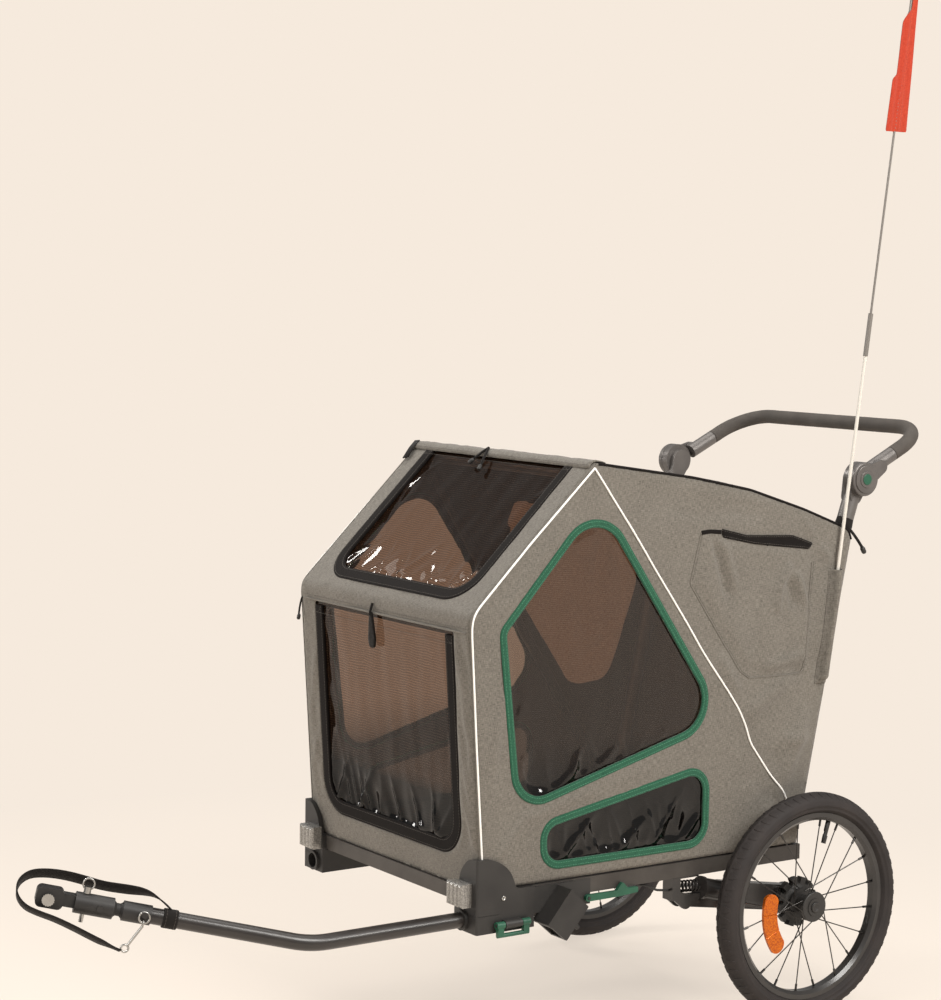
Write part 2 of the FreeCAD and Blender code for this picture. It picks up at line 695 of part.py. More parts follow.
# Folding frame and push handle
def hoop(pivot, bar, x, boss_r):
    """U shaped tube from a pivot boss on each side up to its cross bar."""
    foot = Vector(x, pivot[0], pivot[1])
    corner = Vector(x, bar[0], bar[1])
    path = [foot, corner, Vector(-x, corner.y, corner.z), Vector(-x, foot.y, foot.z)]
    tube = bent_tube(path, [0.0, HOOP_BEND, HOOP_BEND, 0.0], HOOP_R)
    boss_x = (x - HOOP_R - 0.4, x + HOOP_R + 0.4)
    pieces = [tube]
    for boss in both(pin(boss_x, pivot, boss_r)):
        pieces.append(boss)
    holes = both(pin((boss_x[0] - 20.0, boss_x[1] + 20.0), pivot, FRAME_PIN_R + RUNNING_GAP))
    return fused(pieces).cut(Part.makeCompound(holes))


def rear_frame():
    """Two bent uprights with a cross tube, and the fixed halves of the handle's joints."""
    path = upright_path()
    upright = bent_tube(path, [0.0, 150.0, 0.0], REAR_TUBE_R)
    boss = pin((233.0, 256.0), REAR_PIVOT, REAR_TUBE_R + 0.5)
    disc = pin(HANDLE_DISC_X[:2], HANDLE_PIVOT, HANDLE_DISC_R)
    neck = link(HANDLE_PIVOT, 20.0, (path[2].y, path[2].z), REAR_TUBE_R, (232.0, HANDLE_DISC_X[1]))
    sleeve = rod(path[2] - (path[2] - path[1]).normalize() * 46.0, path[2], REAR_TUBE_R + 2.0)
    share = (REAR_CROSS_Z - REAR_PIVOT[1]) / (REAR_BEND[1] - REAR_PIVOT[1])
    cross_y = REAR_PIVOT[0] + share * (REAR_BEND[0] - REAR_PIVOT[0])
    cross = pin((-REAR_TUBE_X, REAR_TUBE_X), (cross_y, REAR_CROSS_Z), HOOP_R)
    pieces = [cross]
    for piece in (upright, boss, disc, neck, sleeve):
        pieces.extend(both(piece))
    holes = both(pin((220.0, 270.0), REAR_PIVOT, FRAME_PIN_R + RUNNING_GAP))
    return fused(pieces).cut(Part.makeCompound(holes))


def handle_path(start):
    """Points of the handle's U from a distance off the joint on one side to the same on the other."""
    way = Vector(0, HANDLE_BAR[0] - HANDLE_PIVOT[0], HANDLE_BAR[1] - HANDLE_PIVOT[1]).normalize()
    left = Vector(REAR_TUBE_X, HANDLE_PIVOT[0], HANDLE_PIVOT[1]) + way * start
    corner = Vector(REAR_TUBE_X, HANDLE_BAR[0], HANDLE_BAR[1])
    return [left, corner, Vector(-corner.x, corner.y, corner.z), Vector(-left.x, left.y, left.z)]


def handle_bar():
    """U shaped handle tube with the moving halves of its two joints."""
    bends = [0.0, HANDLE_BEND, HANDLE_BEND, 0.0]
    path = handle_path(HANDLE_SLEEVE[0] + 1.0)
    neck_at = handle_path(HANDLE_NECK)[0]
    neck_x = (HANDLE_DISC_X[2] + 0.5, 265.0)
    neck = link(HANDLE_PIVOT, 20.0, (neck_at.y, neck_at.z), 12.0, neck_x)
    bridge = pin((REAR_TUBE_X, neck_x[1]), (neck_at.y, neck_at.z), 12.0)
    sleeve = rod(handle_path(HANDLE_SLEEVE[0])[0], handle_path(HANDLE_SLEEVE[1])[0], HANDLE_SLEEVE_R)
    moulded = [neck, bridge, sleeve]
    for face_x, radius, edge_r in HANDLE_STEPS:
        disc = pin((HANDLE_DISC_X[2], face_x), HANDLE_PIVOT, radius)
        moulded.append(disc.makeFillet(edge_r, [e for e in disc.Edges if abs(e.BoundBox.XMin - face_x) < 1e-3]))
    pieces = [bent_tube(path, bends, HANDLE_TUBE_R)]
    for piece in moulded:
        pieces.extend(both(piece))
    wells = both(pin((HANDLE_DISC_X[3] - 7.0, HANDLE_DISC_X[3] + 1.0), HANDLE_PIVOT, HANDLE_BUTTON_R + 0.1))
    return fused(pieces).cut(Part.makeCompound(wells))


def handle_grip():
    """Foam sleeve over the handle tube."""
    bends = [0.0, HANDLE_BEND, HANDLE_BEND, 0.0]
    return bent_tube(handle_path(GRIP_START), bends, GRIP_R, HANDLE_TUBE_R + 0.02)


def handle_button():
    """Round push button in the outer face of a handle joint."""
    x = (HANDLE_DISC_X[3] - 3.5, HANDLE_DISC_X[3] + HANDLE_BUTTON_OUT)
    body = pin(x, HANDLE_PIVOT, HANDLE_BUTTON_R)
    return body.makeFillet(1.2, [e for e in body.Edges if abs(e.BoundBox.XMin - x[1]) < 1e-3])


# Wheels and suspension
def round_about_axle(x, radius):
    """Disc about the axle between the pair x."""
    return pin(x, (0.0, WHEEL_R), radius)


def polar(x, radius, angle):
    """Point at a radius and an angle from +Y about the axle."""
    turn = math.radians(angle)
    return Vector(x, radius * math.cos(turn), WHEEL_R + radius * math.sin(turn))


def tyre():
    """Tyre with a round crown, seated on the rim between its flanges."""
    mid = WHEEL_MID_X
    seat, lip = 8.0, RIM_FLANGE_R + 0.3
    wide_r = 0.5 * (lip + WHEEL_R)

    def at(x, r):
        return Vector(mid + x, 0, WHEEL_R + r)

    edges = [
        Part.LineSegment(at(-seat, RIM_BED_R), at(seat, RIM_BED_R)).toShape(),
        Part.LineSegment(at(seat, RIM_BED_R), at(seat + 0.8, lip)).toShape(),
        Part.LineSegment(at(seat + 0.8, lip), at(RIM_HALF_WIDTH, lip)).toShape(),
        Part.Arc(at(RIM_HALF_WIDTH, lip), at(TYRE_HALF_WIDTH - 2.2, 0.5 * (lip + wide_r)),
                 at(TYRE_HALF_WIDTH, wide_r)).toShape(),
        Part.Arc(at(TYRE_HALF_WIDTH, wide_r), at(0.0, WHEEL_R), at(-TYRE_HALF_WIDTH, wide_r)).toShape(),
        Part.Arc(at(-TYRE_HALF_WIDTH, wide_r), at(-TYRE_HALF_WIDTH + 2.2, 0.5 * (lip + wide_r)),
                 at(-RIM_HALF_WIDTH, lip)).toShape(),
        Part.LineSegment(at(-RIM_HALF_WIDTH, lip), at(-seat - 0.8, lip)).toShape(),
        Part.LineSegment(at(-seat - 0.8, lip), at(-seat, RIM_BED_R)).toShape(),
    ]
    face = Part.Face(Part.Wire(Part.__sortEdges__(edges)))
    return face.revolve(Vector(0, 0, WHEEL_R), ALONG_X, 360)


def rim():
    """Box-section rim with hooked flanges, and the valve stem that stands on it."""
    mid, half = WHEEL_MID_X, RIM_HALF_WIDTH
    ring = turned([
        (mid - half, RIM_FLANGE_R), (mid - 9.0, RIM_FLANGE_R), (mid - 8.05, RIM_BED_R),
        (mid + 8.05, RIM_BED_R), (mid + 9.0, RIM_FLANGE_R), (mid + half, RIM_FLANGE_R),
        (mid + half, RIM_BED_R - 2.0), (mid + 7.0, RIM_INNER_R), (mid - 7.0, RIM_INNER_R),
        (mid - half, RIM_BED_R - 2.0),
    ])
    valve_angle = 72.0
    stem = rod(polar(mid, 122.0, valve_angle), polar(mid, RIM_INNER_R + 2.0, valve_angle), 3.0)
    cap = rod(polar(mid, 108.0, valve_angle), polar(mid, 122.0, valve_angle), 4.2)
    return fused([ring, stem, cap])


def spokes():
    """Laced spokes with their nipples: every other one leans the other way from each hub flange."""
    wires = []
    for i in range(SPOKE_COUNT):
        rim_angle = 360.0 / SPOKE_COUNT * (i + 0.5)
        outer = i % 2 == 0
        lean = 1.0 if (i // 2) % 2 == 0 else -1.0
        flange = HUB_OUTER_FLANGE_X if outer else HUB_INNER_FLANGE_X
        hub_end = polar(flange + 2.6 * lean, HUB_HOLE_R, rim_angle + lean * SPOKE_SWEEP)
        rim_end = polar(WHEEL_MID_X + (2.5 if outer else -2.5), RIM_INNER_R + 0.5, rim_angle)
        inward = (hub_end - rim_end).normalize()
        nipple = rod(rim_end, rim_end + inward * NIPPLE_LENGTH, NIPPLE_R)
        wires.append(fused([rod(hub_end, rim_end, SPOKE_R), nipple]))
    return wires


def hub():
    """Hub shell with two spoke flanges, a notched brake ring and a well for the push button."""
    body = fused([
        round_about_axle((BRAKE_RING_X[0] - 2.0, BRAKE_RING_X[1]), 11.0),
        round_about_axle(BRAKE_RING_X, BRAKE_RING_R),
        Part.makeCone(30.0, HUB_BARREL_R, 7.0, Vector(BRAKE_RING_X[1], 0, WHEEL_R), ALONG_X),
        round_about_axle((BRAKE_RING_X[1], HUB_FACE_X), HUB_BARREL_R),
        round_about_axle((HUB_INNER_FLANGE_X - 1.5, HUB_INNER_FLANGE_X + 1.5), HUB_FLANGE_R),
        round_about_axle((HUB_OUTER_FLANGE_X - 1.5, HUB_FACE_X - 1.5), HUB_FLANGE_R),
    ])
    rim_edges = [e for e in body.Edges if abs(e.BoundBox.XMin - (HUB_FACE_X - 1.5)) < 1e-3
                 and e.BoundBox.ZLength > 2 * HUB_FLANGE_R - 0.1]
    body = body.makeFillet(2.0, rim_edges)
    cuts = []
    for i in range(BRAKE_NOTCHES):
        angle = BRAKE_PIN_ANGLE + 360.0 / BRAKE_NOTCHES * i
        centre = polar(BRAKE_RING_X[0] - 1.0, BRAKE_PIN_AT, angle)
        far = polar(BRAKE_RING_X[0] - 1.0, BRAKE_RING_R + 4.0, angle)
        slot = Part.makeBox(12.0, 8.0, (far - centre).Length, Vector(centre.x, -4.0, 0.0))
        slot.rotate(Vector(centre.x, 0, 0), ALONG_X, angle - 90.0)
        slot.translate(Vector(0, centre.y, centre.z))
        cuts.append(slot)
        cuts.append(rod(centre, centre + ALONG_X * 12.0, 4.0))
    cuts.append(round_about_axle((316.5, HUB_FACE_X + 1.0), BUTTON_R + 0.3))
    cuts.append(round_about_axle((BRAKE_RING_X[0] - 5.0, HUB_FACE_X), AXLE_R + RUNNING_GAP))
    return body.cut(Part.makeCompound(cuts))


def axle():
    """Hollow plug-in axle that the hub turns with and the swing arm holds."""
    outer = round_about_axle((239.0, 316.5), AXLE_R)
    return outer.cut(round_about_axle((238.0, 317.0), RELEASE_ROD_R + RUNNING_GAP))


def hub_button():
    """Wheel release: a button in the hub's well with its rod inside the axle."""
    head = round_about_axle(BUTTON_X, BUTTON_R)
    head = head.makeFillet(1.5, [e for e in head.Edges if abs(e.BoundBox.XMin - BUTTON_X[1]) < 1e-3])
    dish = Part.makeSphere(13.5, Vector(BUTTON_X[1] + 12.0, 0, WHEEL_R))
    return fused([head.cut(dish), round_about_axle((258.0, BUTTON_X[0]), RELEASE_ROD_R)])


def wheel_reflector():
    """Curved orange reflector plate clipped between two spokes."""
    x = WHEEL_MID_X + 12.0
    inner, outer = 82.0, 112.0
    start, end = 166.0, 217.0
    middle = 0.5 * (start + end)
    edges = [
        Part.Arc(polar(x, inner, start), polar(x, inner, middle), polar(x, inner, end)).toShape(),
        Part.Arc(polar(x, inner, end), polar(x, 97.0, end + 6.0), polar(x, outer, end)).toShape(),
        Part.Arc(polar(x, outer, end), polar(x, outer, middle), polar(x, outer, start)).toShape(),
        Part.Arc(polar(x, outer, start), polar(x, 97.0, start - 6.0), polar(x, inner, start)).toShape(),
    ]
    plate = Part.Face(Part.Wire(Part.__sortEdges__(edges))).extrude(ALONG_X * 5.0)
    grooves = [rod(polar(x + 5.0, inner - 3.0, angle), polar(x + 5.0, outer + 3.0, angle), 1.0)
               for angle in (start + 15.0, middle + 10.0)]
    return plate.cut(Part.makeCompound(grooves))


def swing_arm():
    """Cast trailing arm with a pivot boss, a spring cup, the axle's bore and the brake pin's bore."""
    axle_at = (0.0, WHEEL_R)
    pin_at = polar(0.0, BRAKE_PIN_AT, BRAKE_PIN_ANGLE)
    cup_front = Vector(ARM_MID_X, CUP_FRONT[0], CUP_FRONT[1])
    cup_rear = Vector(ARM_MID_X, CUP_REAR[0], CUP_REAR[1])
    pieces = [
        link(ARM_PIVOT, 10.0, axle_at, 21.0, ARM_X),
        rod(cup_front, cup_rear, CUP_R),
        rod(cup_front, cup_front + (cup_rear - cup_front).normalize() * 6.0, CUP_R + 2.0),
        link(CUP_REAR, CUP_R, axle_at, 24.0, (238.0, 260.0)),
        pin((238.0, 267.0), axle_at, 26.0),
        pin((243.0, 267.0), (pin_at.y, pin_at.z), 7.0),
    ]
    holes = [
        pin((230.0, 270.0), ARM_PIVOT, ARM_PIN_R + RUNNING_GAP),
        pin((230.0, 270.0), axle_at, AXLE_R + RUNNING_GAP),
        pin((230.0, 270.0), (pin_at.y, pin_at.z), BRAKE_PIN_R + RUNNING_GAP),
    ]
    return fused(pieces).cut(Part.makeCompound(holes))


def brake_pin():
    """Pin that slides out of the swing arm into a notch of the brake ring."""
    at = polar(0.0, BRAKE_PIN_AT, BRAKE_PIN_ANGLE)
    return pin((246.5, 266.5), (at.y, at.z), BRAKE_PIN_R)


def brake_lever():
    """Green parking brake lever beside the left rail, with a toothed tail and a pivot boss."""
    x = (262.5, 268.5)
    outline = [(-446.0, 251.0), (-446.0, 262.0), (-384.0, 261.5), (-372.0, 275.0), (-360.0, 263.0),
               (-340.0, 263.0), (-340.0, 254.0), (-380.0, 251.5)]
    blade = side_slab(outline, [5.0, 5.0, 3.0, 3.0, 3.0, 1.5, 1.5, 20.0], x)
    return blade.cut(pin((x[0] - 1.0, x[1] + 1.0), LEVER_PIVOT, LEVER_STUD_R + RUNNING_GAP))


# Drawbar and hitch
def hitch_axes():
    """Forward, sideways and upward directions of the drawbar's outer run."""
    forward = (HITCH_AIM - DRAWBAR_BEND).normalize()
    side = ALONG_Z.cross(forward).normalize()
    return forward, side, forward.cross(side)


def hitch_point(along, side=0.0, up=0.0):
    """Point on the drawbar's outer run, measured from its bend."""
    forward, sideways, upward = hitch_axes()
    return DRAWBAR_BEND + forward * along + sideways * side + upward * up


def hitch_rod(along, radius):
    """Round piece on the drawbar's outer run between two distances."""
    return rod(hitch_point(along[0]), hitch_point(along[1]), radius)


def hitch_block(along, side, up):
    """Block on the drawbar's outer run between pairs of distances."""
    forward, sideways, upward = hitch_axes()
    corners = [(side[0], up[0]), (side[1], up[0]), (side[1], up[1]), (side[0], up[1])]
    points = [hitch_point(along[0], s, u) for s, u in corners]
    return Part.Face(Part.makePolygon(points + points[:1])).extrude(forward * (along[1] - along[0]))


def drawbar_tube():
    """Bent tube from the socket in the left bracket to the ferrule."""
    path = [Vector(DRAWBAR_X, DRAWBAR_TAIL_Y, DRAWBAR_Z), DRAWBAR_BEND, hitch_point(FERRULE[0])]
    return bent_tube(path, [0.0, DRAWBAR_BEND_R, 0.0], DRAWBAR_R)


def drawbar_ferrule():
    """Thick end sleeve of the drawbar with a headed stud for the strap's ring."""
    stud_at = 257.0
    stud = rod(hitch_point(stud_at, FERRULE_R - 3.0, 3.8), hitch_point(stud_at, 24.0, 3.8), 2.5)
    head = rod(hitch_point(stud_at, 22.8, 3.8), hitch_point(stud_at, 24.6, 3.8), 4.5)
    return fused([hitch_rod(FERRULE, FERRULE_R), stud, head])


def neck_rubber():
    """Waisted rubber neck that lets the hitch swing."""
    rings = []
    for share, radius in ((0.0, 13.0), (0.3, 9.5), (0.7, 9.5), (1.0, 13.0)):
        at = hitch_point(NECK[0] + share * (NECK[1] - NECK[0]))
        rings.append(Part.Wire(Part.makeCircle(radius, at, hitch_axes()[0])))
    return Part.makeLoft(rings, True, True)


def hitch_sleeve():
    """Round sleeve behind the hitch head, drilled for the lock pin, with its cross screw."""
    body = fused([
        hitch_rod(HITCH_SLEEVE, FERRULE_R + 1.0),
        rod(hitch_point(324.0, 0.0), hitch_point(324.0, 18.0), 4.5),
    ])
    bore = rod(hitch_point(HITCH_PIN_AT, 0.0, -40.0), hitch_point(HITCH_PIN_AT, 0.0, 40.0), HITCH_PIN_R + RUNNING_GAP)
    return body.cut(bore)


def hitch_head():
    """Cast head with two flat cheeks, a waist and the hole of its bolt."""
    cheeks = hitch_block((378.0, HITCH_HEAD_END), (-12.0, 12.0), (-14.0, 16.0))
    edges = [e for e in cheeks.Edges if abs((e.Vertexes[0].Point - e.Vertexes[1].Point).Length - 24.0) < 1e-3]
    cheeks = cheeks.makeFillet(8.0, edges)
    waist = hitch_block((HITCH_SLEEVE[1], 384.0), (-9.0, 9.0), (-8.0, 11.0))
    hole = rod(hitch_point(HITCH_BOLT_AT, -20.0, 0.0), hitch_point(HITCH_BOLT_AT, 20.0, 0.0), 5.0)
    return fused([cheeks, waist]).cut(hole)


def hitch_bolt():
    """Bolt through the hitch head with a knurled round head."""
    shank = rod(hitch_point(HITCH_BOLT_AT, -12.0), hitch_point(HITCH_BOLT_AT, 12.0), 5.0)
    head = rod(hitch_point(HITCH_BOLT_AT, 12.0), hitch_point(HITCH_BOLT_AT, 20.0), 9.5)
    knurls = [
        rod(hitch_point(HITCH_BOLT_AT, 11.0, 0.0) + offset, hitch_point(HITCH_BOLT_AT, 21.0, 0.0) + offset, 1.2)
        for offset in knurl_offsets(10.0, 16)
    ]
    return fused([shank, head.cut(Part.makeCompound(knurls))])


def knurl_offsets(radius, count):
    """Offsets round the bolt's axis for its knurling."""
    forward, _, upward = hitch_axes()
    turns = [2.0 * math.pi * i / count for i in range(count)]
    return [forward * (radius * math.cos(t)) + upward * (radius * math.sin(t)) for t in turns]


def hitch_pin():
    """Upright lock pin through the hitch sleeve, with a wire ring in its head."""
    forward, sideways, _ = hitch_axes()
    shank = rod(hitch_point(HITCH_PIN_AT, 0.0, -28.0), hitch_point(HITCH_PIN_AT, 0.0, 24.0), HITCH_PIN_R)
    collar = rod(hitch_point(HITCH_PIN_AT, 0.0, 16.4), hitch_point(HITCH_PIN_AT, 0.0, 26.0), 5.5)
    ring = Part.makeTorus(8.5, 1.3, hitch_point(HITCH_PIN_AT, 0.0, 30.0), sideways)
    return fused([shank, collar, ring])


def drawbar_latch():
    """Green bail that hangs on the bracket's barrel and locks the drawbar."""
    x, z = 274.5, 238.0
    pieces = []
    for y in ((-627.0, -612.0), (-578.0, -563.0)):
        eye = rod(Vector(x, y[0], z), Vector(x, y[1], z), 5.8)
        leg = box((x - 3.0, x + 4.0), (y[0] + 2.0, y[1] - 2.0), (221.0, z))
        pieces.extend([eye, leg])
    pieces.append(rod(Vector(x + 0.5, -625.0, 221.5), Vector(x + 0.5, -565.0, 221.5), 3.5))
    bore = rod(Vector(x, -640.0, z), Vector(x, -550.0, z), 3.0 + RUNNING_GAP)
    return fused(pieces).cut(bore)


STRAP_R = 4.5
STRAP_ROUTE = [
    (218.0, 0.0, 14.0), (232.0, -3.0, 24.0), (256.0, -9.0, 32.0), (290.0, -18.0, 28.0), (324.0, -25.0, 25.0),
    (358.0, -26.0, 29.0), (386.0, -24.0, 31.0), (412.0, -20.0, 30.0), (434.0, -15.6, 25.2), (448.0, -4.1, 12.7),
    (448.0, 10.1, -2.7), (434.0, 21.6, -15.2), (412.0, 26.0, -20.0), (386.0, 27.0, -24.0), (354.0, 26.0, -33.0),
    (324.0, 24.0, -43.0), (300.0, 22.0, -50.0), (281.0, 20.0, -55.0),
]


def cord_bends(points):
    """Largest tangent arcs that the runs on each side of a corner allow."""
    bends = [0.0]
    for before, point, after in zip(points, points[1:], points[2:]):
        half = 0.5 * (point - before).getAngle(after - point)
        bends.append(0.45 * min((point - before).Length, (after - point).Length) / math.tan(half))
    print("strap radii", [round(b) for b in bends[1:]], "mm")
    return bends + [0.0]


def safety_strap():
    """Webbing strap from a sewn band on the drawbar, over and round the hitch, down to the snap hook."""
    points = [hitch_point(*place) for place in STRAP_ROUTE]
    strap = bent_tube(points, cord_bends(points), STRAP_R)
    band = hitch_rod((206.0, 228.0), DRAWBAR_R + 2.5)
    print("strap length", round(strap.Volume / (math.pi * STRAP_R ** 2)), "mm")
    return fused([strap, band]).cut(hitch_rod((200.0, 232.0), DRAWBAR_R + RUNNING_GAP))


def snap_hook():
    """Ring on the drawbar's stud and the snap hook that ends the strap."""
    forward, sideways, _ = hitch_axes()
    stud_at, out = 257.0, 20.4
    ring = Part.makeTorus(8.0, 1.6, hitch_point(stud_at, out, 0.0), sideways)
    eye = Part.makeTorus(4.0, 1.5, hitch_point(stud_at, out, -8.4), forward)
    shank = rod(hitch_point(stud_at, out, -13.2), hitch_point(272.0, 20.0, -45.0), 2.2)
    swivel = Part.makeTorus(5.5, 1.7, hitch_point(275.5, 20.0, -50.5), sideways)
    return [ring, fused([eye, shank, swivel])]


# Flag
def flag_rod():
    """Two-piece flag rod with its ferrule."""
    return fused([
        rod(flag_point(FLAG_FOOT[1] + 0.5), flag_point(FLAG_JOINT_Z[1] - 4.0), 3.0),
        rod(flag_point(FLAG_JOINT_Z[0]), flag_point(FLAG_JOINT_Z[1]), 4.2),
        rod(flag_point(FLAG_JOINT_Z[1] - 4.0), flag_point(FLAG_TOP_Z), 2.0),
    ])


def pennant():
    """Orange pennant that hangs folded along the top of the rod."""
    front, back = PENNANT_WIDTH
    step_z, cut_z = 1604.0, 1700.0

    def at(offset, z):
        return (flag_point(z).y + offset, z)

    outline = [at(-front, PENNANT_FOOT_Z), at(-front, step_z), at(-front + 7.0, step_z + 8.0), at(-front + 7.0, cut_z),
               at(2.0, cut_z + 26.0), at(2.0, FLAG_TOP_Z), at(back - 14.0, FLAG_TOP_Z), at(back, PENNANT_FOOT_Z)]
    cloth = side_slab(outline, [2.0] * 8, (FLAG_X - 3.2, FLAG_X + 3.2))
    return cloth.cut(rod(flag_point(PENNANT_FOOT_Z - 20.0), flag_point(FLAG_TOP_Z + 20.0), 2.05))


def main():
    """Build every node and write it."""
    os.makedirs("parts", exist_ok=True)
    front_cloth, roof_cloth, rear_cloth = cabin_cloth()
    save("side_rails", both(side_rail()))
    save("front_cross_rail", [front_rail()])
    save("rear_cross_rail", [rear_rail()])
    save("left_corner_bracket", [corner_bracket()])
    save("right_corner_bracket", [mirrored(corner_bracket())])
    save("front_reflectors", both(front_reflector()))
    save("floor_panel", [floor_panel()])
    save("wheel_arm_socket", [wheel_arm_socket()])
    save("suspension_brackets", both(suspension_bracket()))
    save("left_spring", [coil_spring()])
    save("right_spring", [mirrored(coil_spring())])
    save("brake_cable", [brake_cable()])
    save("left_side_panel", [left_panel()])
    save("right_side_panel", [mirrored(side_panel())])
    save("front_panel", [front_cloth])
    save("roof_panel", [roof_cloth])
    save("rear_panel", [rear_cloth])
    save("window_panes", [pane for shape in side_panes() for pane in both(shape)] + [slant_pane()])
    save("side_window_bindings", [ring for shape in side_bindings() for ring in both(shape)])
    save("front_window_binding", [slant_binding()])
    save("front_door", [door_border()])
    save("front_door_pane", [door_pane()])
    save("front_hoop", [hoop(FRONT_PIVOT, FRONT_BAR, FRONT_TUBE_X, HOOP_R)])
    save("apex_hoop", [hoop(APEX_PIVOT, APEX_BAR, APEX_TUBE_X, HOOP_R + 1.0)])
    save("rear_frame", [rear_frame()])
    save("handle_bar", [handle_bar()])
    save("handle_grip", [handle_grip()])
    for name, turn in (("left", lambda shape: shape), ("right", mirrored)):
        save(name + "_handle_button", [turn(handle_button())])
        save(name + "_tyre", [turn(tyre())])
        save(name + "_rim", [turn(rim())])
        save(name + "_spokes", [turn(wire) for wire in spokes()])
        save(name + "_hub", [turn(hub())])
        save(name + "_axle", [turn(axle())])
        save(name + "_hub_button", [turn(hub_button())])
        save(name + "_wheel_reflector", [turn(wheel_reflector())])
        save(name + "_swing_arm", [turn(swing_arm())])
        save(name + "_brake_pin", [turn(brake_pin())])
    save("brake_lever", [brake_lever()])
    save("drawbar_tube", [drawbar_tube()])
    save("drawbar_ferrule", [drawbar_ferrule()])
    save("hitch_neck", [neck_rubber()])
    save("hitch_sleeve", [hitch_sleeve()])
    save("hitch_head", [hitch_head()])
    save("hitch_bolt", [hitch_bolt()])
    save("hitch_pin", [hitch_pin()])
    save("drawbar_latch", [drawbar_latch()])
    save("safety_strap", [safety_strap()])
    save("snap_hook", snap_hook())
    save("flag_rod", [flag_rod()])
    save("flag_pennant", [pennant()])
    print("row shift along Y", round(ROW_SHIFT.y, 3))


if __name__ == "__main__":
    main()
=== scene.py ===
"""Dresses the dog bike trailer: cloth cabin, clear windows, wheels, hitch, handle and flag in a pale studio.

Sizes in the classes are millimetres, measured from the wheel axle (y = 0) and the ground (z = 0), as a maker
would mark them out, and at() turns them into the frame's metres. -Y is the front, +X the trailer's left side.
"""

import logging
import math
from dataclasses import dataclass, field
from enum import Enum
from typing import Callable, Sequence

import bmesh
import bpy
import numpy as np
from mathutils import Matrix, Vector, noise
from mathutils.geometry import delaunay_2d_cdt


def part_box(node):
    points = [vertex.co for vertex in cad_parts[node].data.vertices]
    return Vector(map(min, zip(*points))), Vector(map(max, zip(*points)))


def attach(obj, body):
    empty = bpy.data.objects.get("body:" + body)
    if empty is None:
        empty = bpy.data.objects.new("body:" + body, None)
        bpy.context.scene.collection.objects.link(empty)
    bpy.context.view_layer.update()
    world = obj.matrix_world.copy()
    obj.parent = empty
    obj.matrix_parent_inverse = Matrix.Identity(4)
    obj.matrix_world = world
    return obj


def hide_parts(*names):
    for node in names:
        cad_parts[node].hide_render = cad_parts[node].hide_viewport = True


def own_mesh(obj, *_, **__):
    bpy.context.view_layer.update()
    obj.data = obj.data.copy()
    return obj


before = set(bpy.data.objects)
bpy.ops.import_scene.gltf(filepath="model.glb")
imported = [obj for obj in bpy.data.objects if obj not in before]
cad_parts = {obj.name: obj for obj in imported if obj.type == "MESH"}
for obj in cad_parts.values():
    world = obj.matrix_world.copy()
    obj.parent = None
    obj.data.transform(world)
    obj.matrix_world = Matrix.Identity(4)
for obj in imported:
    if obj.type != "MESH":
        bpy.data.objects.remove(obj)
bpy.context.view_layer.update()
LOG = logging.getLogger("trailer")
MM = 0.001
Piece = bpy.types.Object
Node = bpy.types.Node
Socket = bpy.types.NodeSocket
Point2 = tuple[float, float]
Point3 = tuple[float, float, float]
Points = tuple[Point2, ...]
Place = Callable[[float, float], Vector]
Lifted = Callable[[float, float, float], Vector]


def axle_line() -> float:
    """Y of the wheel axle in the frame, in metres."""
    low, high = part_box("left_axle")
    return 0.5 * (low[1] + high[1])


AXLE_Y = axle_line()


def at(x: float, y: float, z: float) -> Vector:
    """Turn millimetres from the axle and the ground into a point of the frame.

    Args:
        x: Distance to the trailer's left.
        y: Distance behind the axle.
        z: Height above the ground.

    Returns:
        The point in metres.
    """
    return Vector((x * MM, y * MM + AXLE_Y, z * MM))


class Side(Enum):
    """The trailer's two sides, with the sign of X on each."""

    LEFT = 1.0
    RIGHT = -1.0

    @property
    def word(self) -> str:
        """The side's name as it stands in node names."""
        return self.name.lower()


# Flat outlines and patterns
def inside(points: np.ndarray, polygon: np.ndarray) -> np.ndarray:
    """Tell which points lie inside a closed polygon.

    Args:
        points: Array of (a, b) points.
        polygon: Array of the polygon's corners.

    Returns:
        A boolean for each point.
    """
    found = np.zeros(len(points), dtype=bool)
    for start, end in zip(polygon, np.roll(polygon, -1, axis=0)):
        if start[1] == end[1]:
            continue
        spans = (start[1] > points[:, 1]) != (end[1] > points[:, 1])
        crossing = start[0] + (points[:, 1] - start[1]) * (end[0] - start[0]) / (end[1] - start[1])
        found ^= spans & (points[:, 0] < crossing)
    return found


def run_along(line: np.ndarray) -> np.ndarray:
    """Length along a polyline at each of its points."""
    return np.concatenate([[0.0], np.cumsum(np.linalg.norm(np.diff(line, axis=0), axis=1))])


def spaced(points: np.ndarray, pitch: float, closed: bool = True) -> np.ndarray:
    """Space points evenly along a polyline.

    Args:
        points: Array of (a, b) points.
        pitch: Wanted distance between neighbours.
        closed: Whether the line runs back to its start.

    Returns:
        The evenly spaced points.
    """
    line = np.vstack([points, points[:1]]) if closed else points
    lengths = run_along(line)
    count = max(3, int(round(lengths[-1] / pitch)))
    marks = np.linspace(0.0, lengths[-1], count + 1)
    marks = marks[:-1] if closed else marks
    return np.stack([np.interp(marks, lengths, line[:, i]) for i in range(line.shape[1])], axis=1)


